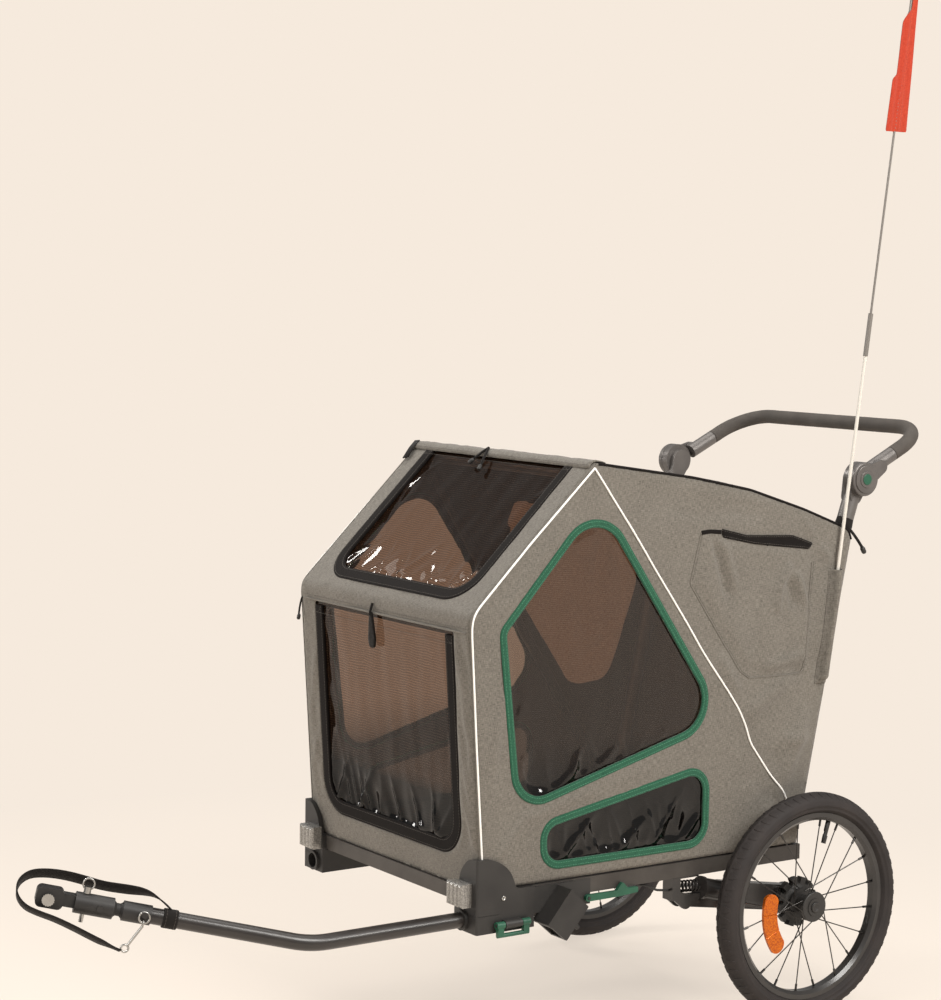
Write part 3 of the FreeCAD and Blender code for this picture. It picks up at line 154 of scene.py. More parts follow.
@dataclass(frozen=True)
class Outline:
    """Closed flat outline with rounded corners, in millimetres."""

    corners: Points
    radii: tuple[float, ...]

    def points(self, grow: float = 0.0, pitch: float = 6.0) -> np.ndarray:
        """Trace the outline, turning to the left, offset outwards.

        Args:
            grow: Distance to move the outline outwards.
            pitch: Distance between points.

        Returns:
            Array of (a, b) points.
        """
        corners = [Vector(c) for c in self.corners]
        radii = list(self.radii)
        area = sum(a.x * b.y - b.x * a.y for a, b in zip(corners, corners[1:] + corners[:1]))
        if area < 0.0:
            corners.reverse()
            radii.reverse()
        traced: list[Point2] = []
        for i, corner in enumerate(corners):
            before = (corners[i - 1] - corner).normalized()
            after = (corners[(i + 1) % len(corners)] - corner).normalized()
            half = 0.5 * before.angle(after)
            radius = max(0.5, radii[i])
            centre = corner + (before + after).normalized() * (radius / math.sin(half))
            first = corner + before * (radius / math.tan(half)) - centre
            last = corner + after * (radius / math.tan(half)) - centre
            turn = math.atan2(first.x * last.y - first.y * last.x, first.dot(last))
            steps = max(2, int(abs(turn) / 0.12))
            for k in range(steps + 1):
                a = turn * k / steps
                arm = Vector((first.x * math.cos(a) - first.y * math.sin(a),
                              first.x * math.sin(a) + first.y * math.cos(a)))
                traced.append(tuple(centre + arm * (1.0 + grow / radius if turn > 0 else 1.0 - grow / radius)))
        return spaced(np.array(traced), pitch)


def rectangle(left: float, low: float, right: float, high: float, radius: float) -> Outline:
    """Outline of a rectangle with rounded corners."""
    return Outline(((left, low), (right, low), (right, high), (left, high)), (radius,) * 4)


def gap_to(line: np.ndarray, a: float, b: float) -> float:
    """Distance from a place to the nearest point of a line."""
    return math.sqrt(np.min(np.sum((line - (a, b)) ** 2, axis=1)))


def bell(distance: float, width: float) -> float:
    """Smooth bump that is 1 at distance 0 and fades within a few widths."""
    return math.exp(-(distance / width) ** 2)


def ease(value: float) -> float:
    """Smooth step from 0 to 1 for a value from 0 to 1."""
    value = min(1.0, max(0.0, value))
    return value * value * (3.0 - 2.0 * value)


def crumple(a: float, b: float, size: float, seed: float) -> float:
    """Soft cloth unevenness from -1 to 1.

    Args:
        a: First place on the cloth, in millimetres.
        b: Second place on the cloth, in millimetres.
        size: Size of the swells, in millimetres.
        seed: Picks one pattern.

    Returns:
        The height, before it is scaled.
    """
    return noise.noise(Vector((a / size + seed, b / size - seed, seed * 1.7)))


def ridged(a: float, b: float, size: float, seed: float) -> float:
    """Sharp-crested creases from 0 to 1, as in stiff vinyl."""
    height = abs(crumple(a, b, size, seed))
    return (1.0 - height * 2.2) ** 2 if height < 0.45 else 0.0


# Meshes
def link_object(name: str, data: bpy.types.ID) -> Piece:
    """Put a mesh, curve, camera or lamp into the scene as an object at the origin."""
    obj = bpy.data.objects.new(name, data)
    bpy.context.scene.collection.objects.link(obj)
    return obj


def from_faces(name: str, verts: Sequence[Vector], faces: Sequence[Sequence[int]], smooth: bool = True,
               uv: Sequence[Point2] | None = None) -> Piece:
    """Make an object from vertices and faces.

    Args:
        name: The piece's name.
        verts: Points in metres.
        faces: Corner numbers of each face.
        smooth: Whether the faces are shaded smooth.
        uv: A place on the flat cloth for each vertex, in metres.

    Returns:
        The new object.
    """
    mesh = bpy.data.meshes.new(name)
    mesh.from_pydata([tuple(v) for v in verts], [], [tuple(f) for f in faces])
    mesh.polygons.foreach_set("use_smooth", [smooth] * len(mesh.polygons))
    if uv is not None:
        layer = mesh.uv_layers.new(name="UVMap")
        corners = np.empty(len(mesh.loops), dtype=np.int32)
        mesh.loops.foreach_get("vertex_index", corners)
        layer.data.foreach_set("uv", np.array(uv, dtype=np.float32)[corners].ravel())
    mesh.update()
    return link_object(name, mesh)


def baked(obj: Piece) -> Piece:
    """Turn an object with modifiers, or a curve, into a plain mesh object of the same name."""
    graph = bpy.context.evaluated_depsgraph_get()
    mesh = bpy.data.meshes.new_from_object(obj.evaluated_get(graph))
    name = obj.name
    bpy.data.objects.remove(obj)
    mesh.name = name
    return link_object(name, mesh)


def merged(name: str, pieces: Sequence[Piece]) -> Piece:
    """Join several mesh objects into one, keeping their materials.

    Args:
        name: Name of the joined piece.
        pieces: The objects, which are used up.

    Returns:
        The joined object.
    """
    target = pieces[0]
    with bpy.context.temp_override(active_object=target, object=target, selected_editable_objects=list(pieces)):
        bpy.ops.object.join()
    target.name = name
    target.data.name = name
    return target


def outwards(obj: Piece) -> Piece:
    """Merge doubles and turn every face of a closed mesh outwards."""
    work = bmesh.new()
    work.from_mesh(obj.data)
    bmesh.ops.remove_doubles(work, verts=work.verts, dist=1e-6)
    bmesh.ops.recalc_face_normals(work, faces=work.faces)
    work.to_mesh(obj.data)
    work.free()
    return obj


def thickened(obj: Piece, thickness: float) -> Piece:
    """Give a sheet its thickness, inwards, with the second material on its inner face.

    Args:
        obj: The sheet.
        thickness: Thickness in millimetres.

    Returns:
        The thick sheet as a plain mesh.
    """
    solidify = obj.modifiers.new("thickness", "SOLIDIFY")
    solidify.thickness = thickness * MM
    solidify.offset = -1.0
    solidify.use_even_offset = False
    solidify.material_offset = 1
    return baked(obj)


def paint(obj: Piece, *finishes: "Finish") -> Piece:
    """Give an object its finishes, in slot order."""
    obj.data.materials.clear()
    for finish in finishes:
        obj.data.materials.append(finish.material())
    return obj


@dataclass
class Sheet:
    """Flat cloth pattern meshed with even triangles, which a function then places in space."""

    outer: np.ndarray
    holes: list[np.ndarray] = field(default_factory=list)
    pitch: float = 8.0
    area: float = 0.0

    def within(self, points: np.ndarray) -> np.ndarray:
        """Tell which points lie on the cloth, inside its outline and outside its holes."""
        keep = inside(points, self.outer)
        for hole in self.holes:
            keep &= ~inside(points, hole)
        return keep

    def pattern(self) -> tuple[np.ndarray, list[list[int]]]:
        """Mesh the pattern.

        Returns:
            The points of the flat pattern and its triangles.
        """
        loops = [self.outer] + self.holes
        low, high = self.outer.min(axis=0), self.outer.max(axis=0)
        rows = np.arange(low[1], high[1], self.pitch * 0.866)
        cells = []
        for i, b in enumerate(rows):
            row = np.arange(low[0] + (i % 2) * 0.5 * self.pitch, high[0], self.pitch)
            cells.append(np.stack([row, np.full(len(row), b)], axis=1))
        grid = np.vstack(cells)
        grid = grid[self.within(grid)]
        edge = np.vstack(loops)
        near = np.array([np.min(np.sum((edge - p) ** 2, axis=1)) for p in grid])
        grid = grid[near > (0.55 * self.pitch) ** 2]
        points = np.vstack([edge, grid])
        edges, start = [], 0
        for loop in loops:
            n = len(loop)
            edges += [(start + i, start + (i + 1) % n) for i in range(n)]
            start += n
        found = delaunay_2d_cdt([Vector(p) for p in points], edges, [], 0, 1e-5)
        flat = np.array([tuple(v) for v in found[0]])
        faces = np.array(found[2])
        return flat, faces[self.within(flat[faces].mean(axis=1))].tolist()

    def hung(self, name: str, place: Place, way: Sequence[float] | None = None) -> Piece:
        """Mesh the pattern and place it.

        Args:
            name: The piece's name.
            place: Gives the point in metres for a place on the pattern.
            way: Direction that most of the faces look along.

        Returns:
            The sheet, with its flat pattern as UV map.
        """
        flat, faces = self.pattern()
        first, second, third = (flat[np.array(faces)[:, i]] for i in range(3))
        one, two = second - first, third - first
        self.area = 0.5 * float(np.abs(one[:, 0] * two[:, 1] - one[:, 1] * two[:, 0]).sum()) * MM * MM
        verts = [place(a, b) for a, b in flat]
        sheet = from_faces(name, verts, faces, uv=[(a * MM, b * MM) for a, b in flat])
        if way and sum(p.normal.dot(Vector(way)) * p.area for p in sheet.data.polygons) < 0.0:
            sheet.data.flip_normals()
        return sheet


def skin(count: int, sides: int, closed: bool = True) -> list[tuple[int, ...]]:
    """Faces over a row of rings.

    Args:
        count: Number of rings.
        sides: Points in each ring.
        closed: Whether the last ring meets the first, instead of a face at each end.

    Returns:
        The corner numbers of each face.
    """
    faces: list[tuple[int, ...]] = []
    for i in range(count if closed else count - 1):
        for k in range(sides):
            j, m = (i + 1) % count, (k + 1) % sides
            faces.append((i * sides + k, i * sides + m, j * sides + m, j * sides + k))
    if not closed:
        faces += [tuple(range(sides)), tuple(range((count - 1) * sides, count * sides))]
    return faces


def band_along(name: str, base: np.ndarray, profile: Sequence[Point2], place: Lifted,
               closed: bool = True) -> Piece:
    """Make a flat band that follows a line, such as an edge binding.

    Args:
        name: The piece's name.
        base: Points of the line in the flat pattern, with the outside on the right.
        profile: Closed section as (offset outwards, height) pairs.
        place: Gives the point in metres for (a, b, height).
        closed: Whether the line runs back to its start.

    Returns:
        The band as a closed mesh.
    """
    if closed:
        along = np.roll(base, -1, axis=0) - np.roll(base, 1, axis=0)
    else:
        along = np.gradient(base, axis=0)
    along /= np.linalg.norm(along, axis=1)[:, None]
    normal = np.stack([along[:, 1], -along[:, 0]], axis=1)
    run = run_along(base)
    verts, uv = [], []
    for i in range(len(base)):
        for offset, height in profile:
            a, b = base[i] + normal[i] * offset
            verts.append(place(a, b, height))
            uv.append((run[i] * MM, offset * MM))
    return outwards(from_faces(name, verts, skin(len(base), len(profile), closed), uv=uv))


def nurbs(name: str, points: Sequence[Vector], steps: int) -> Piece:
    """Make a smooth curve.

    Args:
        name: The curve's name.
        points: Its control points in metres.
        steps: Fineness of the curve between them.

    Returns:
        The curve object.
    """
    data = bpy.data.curves.new(name, "CURVE")
    data.dimensions = "3D"
    spline = data.splines.new("NURBS")
    spline.points.add(len(points) - 1)
    for point, place in zip(spline.points, points):
        point.co = (*place, 1.0)
    spline.order_u = 3
    spline.use_endpoint_u = True
    spline.resolution_u = steps
    return link_object(name, data)


def tube(name: str, points: Sequence[Vector], radius: float) -> Piece:
    """Make a round tube along a smooth line.

    Args:
        name: The piece's name.
        points: Control points of the line in metres.
        radius: Radius in millimetres.

    Returns:
        The tube as a mesh with closed ends.
    """
    curve = nurbs(name, points, 6)
    curve.data.bevel_depth = radius * MM
    curve.data.bevel_resolution = 4
    curve.data.use_fill_caps = True
    made = baked(curve)
    made.data.polygons.foreach_set("use_smooth", [True] * len(made.data.polygons))
    return made


def turned(name: str, profile: Sequence[Point2], axis_point: Vector, axis: Vector,
           segments: int = 48) -> Piece:
    """Turn a closed profile about an axis.

    Args:
        name: The piece's name.
        profile: (radius, distance along the axis) pairs in millimetres, as a closed ring.
        axis_point: Point on the axis in metres.
        axis: Direction of the axis.
        segments: Number of steps round.

    Returns:
        The turned solid.
    """
    along = axis.normalized()
    across = along.orthogonal().normalized()
    third = along.cross(across)
    verts = []
    for i in range(segments):
        angle = math.tau * i / segments
        out = across * math.cos(angle) + third * math.sin(angle)
        verts += [axis_point + (out * r + along * d) * MM for r, d in profile]
    return outwards(from_faces(name, verts, skin(segments, len(profile))))


# Node trees
Colour = tuple[int, int, int]


def srgb(red: int, green: int, blue: int) -> Point3:
    """Turn a colour as seen on a screen, from 0 to 255, into linear values."""
    shares = [c / 255.0 for c in (red, green, blue)]
    return tuple(c / 12.92 if c <= 0.04045 else ((c + 0.055) / 1.055) ** 2.4 for c in shares)


class Wiring:
    """A node tree that is built link by link."""

    def __init__(self, tree: bpy.types.NodeTree) -> None:
        """Work on an existing tree."""
        self.tree = tree

    def add(self, kind: str, inputs: dict | None = None, **settings: object) -> Node:
        """Add a node, set its properties and its inputs by name, linking where a socket is given."""
        node = self.tree.nodes.new(kind)
        for key, value in settings.items():
            setattr(node, key, value)
        self.fill(node, inputs or {})
        return node

    def fill(self, node: Node, inputs: dict) -> None:
        """Link or set several inputs of a node, by name or number."""
        for key, value in inputs.items():
            self.put(node.inputs[key], value)

    def put(self, target: Socket, value: object) -> None:
        """Link a socket to an input, or set the input's value."""
        if isinstance(value, bpy.types.NodeSocket):
            self.tree.links.new(value, target)
        else:
            target.default_value = value

    def socket(self, name: str, way: str, kind: str) -> None:
        """Add a named socket to the tree's own inputs or outputs."""
        self.tree.interface.new_socket(name, in_out=way, socket_type="NodeSocket" + kind)

    def math(self, operation: str, first: object, second: object = 0.0) -> Socket:
        """Add a math node and return its result."""
        return self.add("ShaderNodeMath", {0: first, 1: second}, operation=operation).outputs[0]

    def noise(self, vector: object, scale: object, detail: float = 2.0) -> Socket:
        """Add a noise texture and return its value."""
        return self.add("ShaderNodeTexNoise", {"Vector": vector, "Scale": scale, "Detail": detail}).outputs[0]

    def scaled(self, vector: object, scale: object) -> Socket:
        """Stretch a vector."""
        return self.add("ShaderNodeVectorMath", {0: vector, 1: scale}, operation="MULTIPLY").outputs[0]

    def ramp(self, value: object, ends: Point2, dark: Colour, light: Colour) -> Socket:
        """Colour ramp between two screen colours at its two ends."""
        node = self.add("ShaderNodeValToRGB", {"Fac": value})
        for stop, position, colour in zip(node.color_ramp.elements, ends, (dark, light)):
            stop.position = position
            stop.color = (*srgb(*colour), 1.0)
        return node.outputs["Color"]

    def spread(self, value: object, low: float, high: float) -> Socket:
        """Map a value from 0 to 1 onto low to high."""
        return self.add("ShaderNodeMapRange", {"Value": value, "To Min": low, "To Max": high}).outputs["Result"]

    def bump(self, height: object, strength: float, distance: float) -> Socket:
        """Bump node for the Normal input."""
        node = self.add("ShaderNodeBump", {"Height": height, "Strength": strength, "Distance": distance})
        return node.outputs["Normal"]


class Growth(Wiring):
    """Geometry node tree with named inputs, which grows a piece and leaves a plain mesh."""

    def __init__(self, name: str) -> None:
        """Start an empty tree with a geometry input and output."""
        super().__init__(bpy.data.node_groups.new(name, "GeometryNodeTree"))
        for way in ("INPUT", "OUTPUT"):
            self.socket("Geometry", way, "Geometry")
        self.start = self.add("NodeGroupInput")
        self.geometry = self.start.outputs["Geometry"]

    def named(self, name: str, kind: str) -> Socket:
        """Add a named input and return its socket inside the tree."""
        self.socket(name, "INPUT", kind)
        return self.start.outputs[name]

    def close(self, geometry: Socket) -> "Growth":
        """Realize the instances, set their material and end the tree."""
        realize = self.add("GeometryNodeRealizeInstances", {"Geometry": geometry})
        dress = self.add("GeometryNodeSetMaterial", {"Geometry": realize.outputs["Geometry"],
                                                     "Material": self.named("Material", "Material")})
        self.add("NodeGroupOutput", {"Geometry": dress.outputs["Geometry"]})
        return self

    def copies(self, points: object, piece: object, turn: object) -> Socket:
        """Set a copy of a piece on each point."""
        node = self.add("GeometryNodeInstanceOnPoints", {"Points": points, "Instance": piece, "Rotation": turn})
        return node.outputs["Instances"]

    def grow(self, seed: Piece, values: dict[str, object]) -> Piece:
        """Run the tree on an object.

        Args:
            seed: The object whose geometry the tree reads, which is used up.
            values: A value for each named input.

        Returns:
            The grown piece as a plain mesh.
        """
        modifier = seed.modifiers.new("growth", "NODES")
        modifier.node_group = self.tree
        for item in self.tree.interface.items_tree:
            if item.item_type == "SOCKET" and item.in_out == "INPUT" and item.name in values:
                modifier[item.identifier] = values[item.name]
        return baked(seed)


def stitch_growth() -> Growth:
    """Tree that sews thread stitches along the edges of a path mesh."""
    grown = Growth("stitches")
    curve = grown.add("GeometryNodeMeshToCurve", {"Mesh": grown.geometry})
    marks = grown.add("GeometryNodeCurveToPoints", {"Curve": curve.outputs["Curve"]}, mode="LENGTH")
    grown.fill(marks, {"Length": grown.named("Spacing", "Float")})
    thread = grown.add("GeometryNodeMeshCylinder", {"Vertices": 6, "Radius": grown.named("Width", "Float"),
                                                    "Depth": grown.named("Length", "Float")})
    return grown.close(grown.copies(marks.outputs["Points"], thread.outputs["Mesh"], marks.outputs["Rotation"]))


def round_growth() -> Growth:
    """Tree that repeats a shape round a line along X."""
    grown = Growth("repeat_round_axle")
    count = grown.named("Count", "Int")
    centre = grown.named("Centre", "Vector")
    marks = grown.add("GeometryNodePoints", {"Count": count})
    back = grown.scaled(centre, (-1.0, -1.0, -1.0))
    inner = grown.add("GeometryNodeTransform", {"Geometry": grown.geometry, "Translation": back})
    share = grown.math("DIVIDE", grown.add("GeometryNodeInputIndex").outputs["Index"], count)
    euler = grown.add("ShaderNodeCombineXYZ", {"X": grown.math("MULTIPLY", share, math.tau)})
    turn = grown.add("FunctionNodeEulerToRotation", {"Euler": euler.outputs["Vector"]})
    ring = grown.copies(marks.outputs[0], inner.outputs["Geometry"], turn.outputs["Rotation"])
    outer = grown.add("GeometryNodeTransform", {"Geometry": ring, "Translation": centre})
    return grown.close(outer.outputs["Geometry"])


def facing_growth() -> Growth:
    """Tree that sets a shape on points, turned to face each point's own way."""
    grown = Growth("set_on_points")
    facing = grown.add("GeometryNodeInputNamedAttribute", {"Name": "facing"}, data_type="FLOAT_VECTOR")
    turn = grown.add("FunctionNodeAlignRotationToVector", {"Vector": facing.outputs["Attribute"]}, axis="Z")
    info = grown.add("GeometryNodeObjectInfo", {"Object": grown.named("Piece", "Object")})
    return grown.close(grown.copies(grown.geometry, info.outputs["Geometry"], turn.outputs["Rotation"]))


class Growths:
    """The trees, each built once."""

    stitches = stitch_growth()
    round_axle = round_growth()
    facing = facing_growth()


STITCH_SPACING = 5.0
STITCH_LENGTH = 3.4
THREAD_RADIUS = 0.32


def stitched(name: str, line: Sequence[Vector], thread: "Finish", closed: bool = False) -> Piece:
    """Sew a row of stitches along a line.

    Args:
        name: The piece's name.
        line: Points in metres.
        thread: The thread's finish.
        closed: Whether the line runs back to its start.

    Returns:
        The stitches as one mesh.
    """
    mesh = bpy.data.meshes.new(name)
    pairs = [(i, i + 1) for i in range(len(line) - 1)] + ([(len(line) - 1, 0)] if closed else [])
    mesh.from_pydata([tuple(p) for p in line], pairs, [])
    return Growths.stitches.grow(link_object(name, mesh), {
        "Spacing": STITCH_SPACING * MM, "Length": STITCH_LENGTH * MM, "Width": THREAD_RADIUS * MM,
        "Material": thread.material()})


def set_on(name: str, piece: Piece, places: Sequence[tuple[Vector, Vector]],
           finish: "Finish") -> Piece:
    """Set copies of a small piece on points, such as screws.

    Args:
        name: The new piece's name.
        piece: Shape to copy, standing along +Z at the origin, which is used up.
        places: Point and outward direction of each copy.
        finish: The copies' finish.

    Returns:
        All the copies as one mesh.
    """
    mesh = bpy.data.meshes.new(name)
    mesh.from_pydata([tuple(p) for p, _ in places], [], [])
    facing = mesh.attributes.new("facing", "FLOAT_VECTOR", "POINT")
    facing.data.foreach_set("vector", [c for _, way in places for c in way.normalized()])
    made = Growths.facing.grow(link_object(name, mesh), {"Piece": piece, "Material": finish.material()})
    bpy.data.objects.remove(piece)
    return made


# Shader node groups
def effect(name: str, number: str, results: Sequence[str]) -> tuple[Wiring, Node, Node]:
    """Start a shader node group with a Vector input and a number input.

    Args:
        name: The group's name.
        number: Name of its number input.
        results: Names of its outputs.

    Returns:
        The group's wiring, its input node and its output node.
    """
    wires = Wiring(bpy.data.node_groups.new(name, "ShaderNodeTree"))
    wires.socket("Vector", "INPUT", "Vector")
    wires.socket(number, "INPUT", "Float")
    for result in results:
        wires.socket(result, "OUTPUT", "Float")
    return wires, wires.add("NodeGroupInput"), wires.add("NodeGroupOutput")


def weave_effect() -> bpy.types.NodeTree:
    """Plain weave with slubby yarns: a thread height and a yarn mottle."""
    wires, start, end = effect("plain_weave", "Threads", ["Height", "Mottle"])
    spot = start.outputs["Vector"]
    place = wires.add("ShaderNodeSeparateXYZ", {"Vector": spot})
    turns = wires.math("MULTIPLY", start.outputs["Threads"], math.pi)
    warp = wires.math("SINE", wires.math("MULTIPLY", place.outputs["X"], turns))
    weft = wires.math("SINE", wires.math("MULTIPLY", place.outputs["Y"], turns))
    over = wires.spread(wires.math("MULTIPLY", warp, weft), 0.5, 1.0)
    under = wires.math("SUBTRACT", 1.0, over)
    first = wires.math("MULTIPLY", wires.math("ABSOLUTE", warp), over)
    second = wires.math("MULTIPLY", wires.math("ABSOLUTE", weft), under)
    wires.put(end.inputs["Height"], wires.math("ADD", first, second))
    long_yarn = wires.noise(wires.scaled(spot, (130.0, 1000.0, 1.0)), 1.0)
    cross_yarn = wires.noise(wires.scaled(spot, (1000.0, 130.0, 1.0)), 1.0)
    cloud = wires.noise(spot, 14.0, 4.0)
    yarns = wires.math("MULTIPLY", wires.math("ADD", long_yarn, cross_yarn), 0.46)
    wires.put(end.inputs["Mottle"], wires.math("ADD", yarns, wires.math("MULTIPLY", cloud, 0.08)))
    return wires.tree


def grain_effect() -> bpy.types.NodeTree:
    """Fine moulded grain with slow smudges: a height and a smudge mask."""
    wires, start, end = effect("moulded_grain", "Scale", ["Height", "Smudge"])
    spot = start.outputs["Vector"]
    wires.put(end.inputs["Height"], wires.noise(spot, start.outputs["Scale"], 3.0))
    wires.put(end.inputs["Smudge"], wires.noise(spot, 22.0, 5.0))
    return wires.tree


class Effects:
    """The shared shader effects, each built once."""

    weave = weave_effect()
    grain = grain_effect()


# Finishes
WEAVE_DEPTH = 0.0005
GRAIN_DEPTH = 0.0004
PRISM_DEPTH = 0.0006


@dataclass(frozen=True)
class Finish:
    """A procedural material between two shades, given as screen colours."""

    name: str
    dark: Colour
    light: Colour

    def material(self) -> bpy.types.Material:
        """The material, built at its first use."""
        if self.name in bpy.data.materials:
            return bpy.data.materials[self.name]
        material = bpy.data.materials.new(self.name)
        material.use_nodes = True
        self.dress(Wiring(material.node_tree), material.node_tree.nodes["Principled BSDF"])
        return material

    def dress(self, wires: Wiring, shader: Node) -> None:
        """Wire the finish into the material's Principled node."""
        raise NotImplementedError


@dataclass(frozen=True)
class Cloth(Finish):
    """Woven cloth with two yarn shades, read from the piece's own flat pattern."""

    threads: float = 900.0
    relief: float = 0.35
    roughness: float = 0.86
    sheen: float = 0.15
    shine: float = 0.25
    # Painted light: emission in the cloth's own colour, which makes it glow though it is no lamp.
    glow: float = 0.0

    def dress(self, wires: Wiring, shader: Node) -> None:
        """Wire the weave into the shader."""
        place = wires.add("ShaderNodeTexCoord").outputs["UV"]
        values = {"Vector": place, "Threads": self.threads}
        weave = wires.add("ShaderNodeGroup", values, node_tree=Effects.weave)
        colour = wires.ramp(weave.outputs["Mottle"], (0.36, 0.64), self.dark, self.light)
        wires.fill(shader, {
            "Base Color": colour, "Emission Color": colour, "Emission Strength": self.glow,
            "Normal": wires.bump(weave.outputs["Height"], self.relief, WEAVE_DEPTH),
            "Roughness": self.roughness, "Sheen Weight": self.sheen, "Sheen Roughness": 0.5,
            "Specular IOR Level": self.shine})


@dataclass(frozen=True)
class Moulded(Finish):
    """Plastic, rubber or paint with a fine grain and slow smudges."""

    grain: float = 1400.0
    relief: float = 0.15
    gloss: Point2 = (0.38, 0.55)
    metallic: float = 0.0
    coat: float = 0.0
    split: float = 0.0

    def dress(self, wires: Wiring, shader: Node) -> None:
        """Wire the grain into the shader, with the light shade above the split where there is one."""
        place = wires.add("ShaderNodeTexCoord").outputs["Object"]
        grain = wires.add("ShaderNodeGroup", {"Vector": place, "Scale": self.grain}, node_tree=Effects.grain)
        smudge = mask = grain.outputs["Smudge"]
        if self.split:
            height = wires.add("ShaderNodeSeparateXYZ", {"Vector": place}).outputs["Z"]
            mask = wires.math("GREATER_THAN", height, self.split)
        wires.fill(shader, {
            "Base Color": wires.ramp(mask, (0.3, 0.7), self.dark, self.light),
            "Roughness": wires.spread(smudge, *self.gloss),
            "Normal": wires.bump(grain.outputs["Height"], self.relief, GRAIN_DEPTH),
            "Metallic": self.metallic, "Coat Weight": self.coat, "Coat Roughness": 0.15})


@dataclass(frozen=True)
class Vinyl(Finish):
    """Clear glossy vinyl over ridged brown mesh, which tints what is seen through it."""

    ridges: float = 330.0
    # Painted shade: between the band's two heights the pane's colour is darkened, down to the share at its
    # foot.
    painted_shade_band: Point2 = (0.0, 0.001)
    painted_shade_share: float = 0.3
    coat: float = 1.0

    def dress(self, wires: Wiring, shader: Node) -> None:
        """Wire the ridges and the painted shade at the pane's foot into the shader."""
        place = wires.add("ShaderNodeTexCoord").outputs["UV"]
        spot = wires.add("ShaderNodeSeparateXYZ", {"Vector": place})
        wave = wires.math("MULTIPLY", wires.noise(place, 22.0, 2.0), 0.008)
        height = wires.math("ADD", spot.outputs["Y"], wave)
        turns = wires.math("MULTIPLY", height, self.ridges * math.tau)
        ridge = wires.spread(wires.math("SINE", turns), 0.3, 1.0)
        cloud = wires.noise(place, 140.0, 3.0)
        mixed = wires.math("ADD", wires.math("MULTIPLY", ridge, 0.75), wires.math("MULTIPLY", cloud, 0.25))
        # Painted shade: the colour is darkened towards the pane's foot.
        foot, top = self.painted_shade_band
        limits = {"Value": height, "From Min": foot, "From Max": top, "To Min": self.painted_shade_share}
        shade = wires.add("ShaderNodeMapRange", limits).outputs["Result"]
        wires.fill(shader, {
            "Base Color": wires.scaled(wires.ramp(mixed, (0.25, 0.8), self.dark, self.light), shade),
            "Roughness": 0.1, "IOR": 1.02, "Transmission Weight": 0.94, "Coat Weight": self.coat,
            "Coat Roughness": 0.05, "Coat IOR": 1.5})


@dataclass(frozen=True)
class Prism(Finish):
    """Reflector plastic over a bright moulded backing."""

    cells: float = 420.0

    def dress(self, wires: Wiring, shader: Node) -> None:
        """Wire the prism cells into the shader."""
        place = wires.add("ShaderNodeTexCoord").outputs["Object"]
        cell = wires.add("ShaderNodeTexVoronoi", {"Vector": place, "Scale": self.cells}).outputs["Distance"]
        wires.fill(shader, {
            "Base Color": wires.ramp(cell, (0.0, 0.75), self.light, self.dark),
            "Normal": wires.bump(cell, 0.18, PRISM_DEPTH), "Roughness": 0.22, "Coat Weight": 0.12,
            "Coat Roughness": 0.03, "Metallic": 0.45})


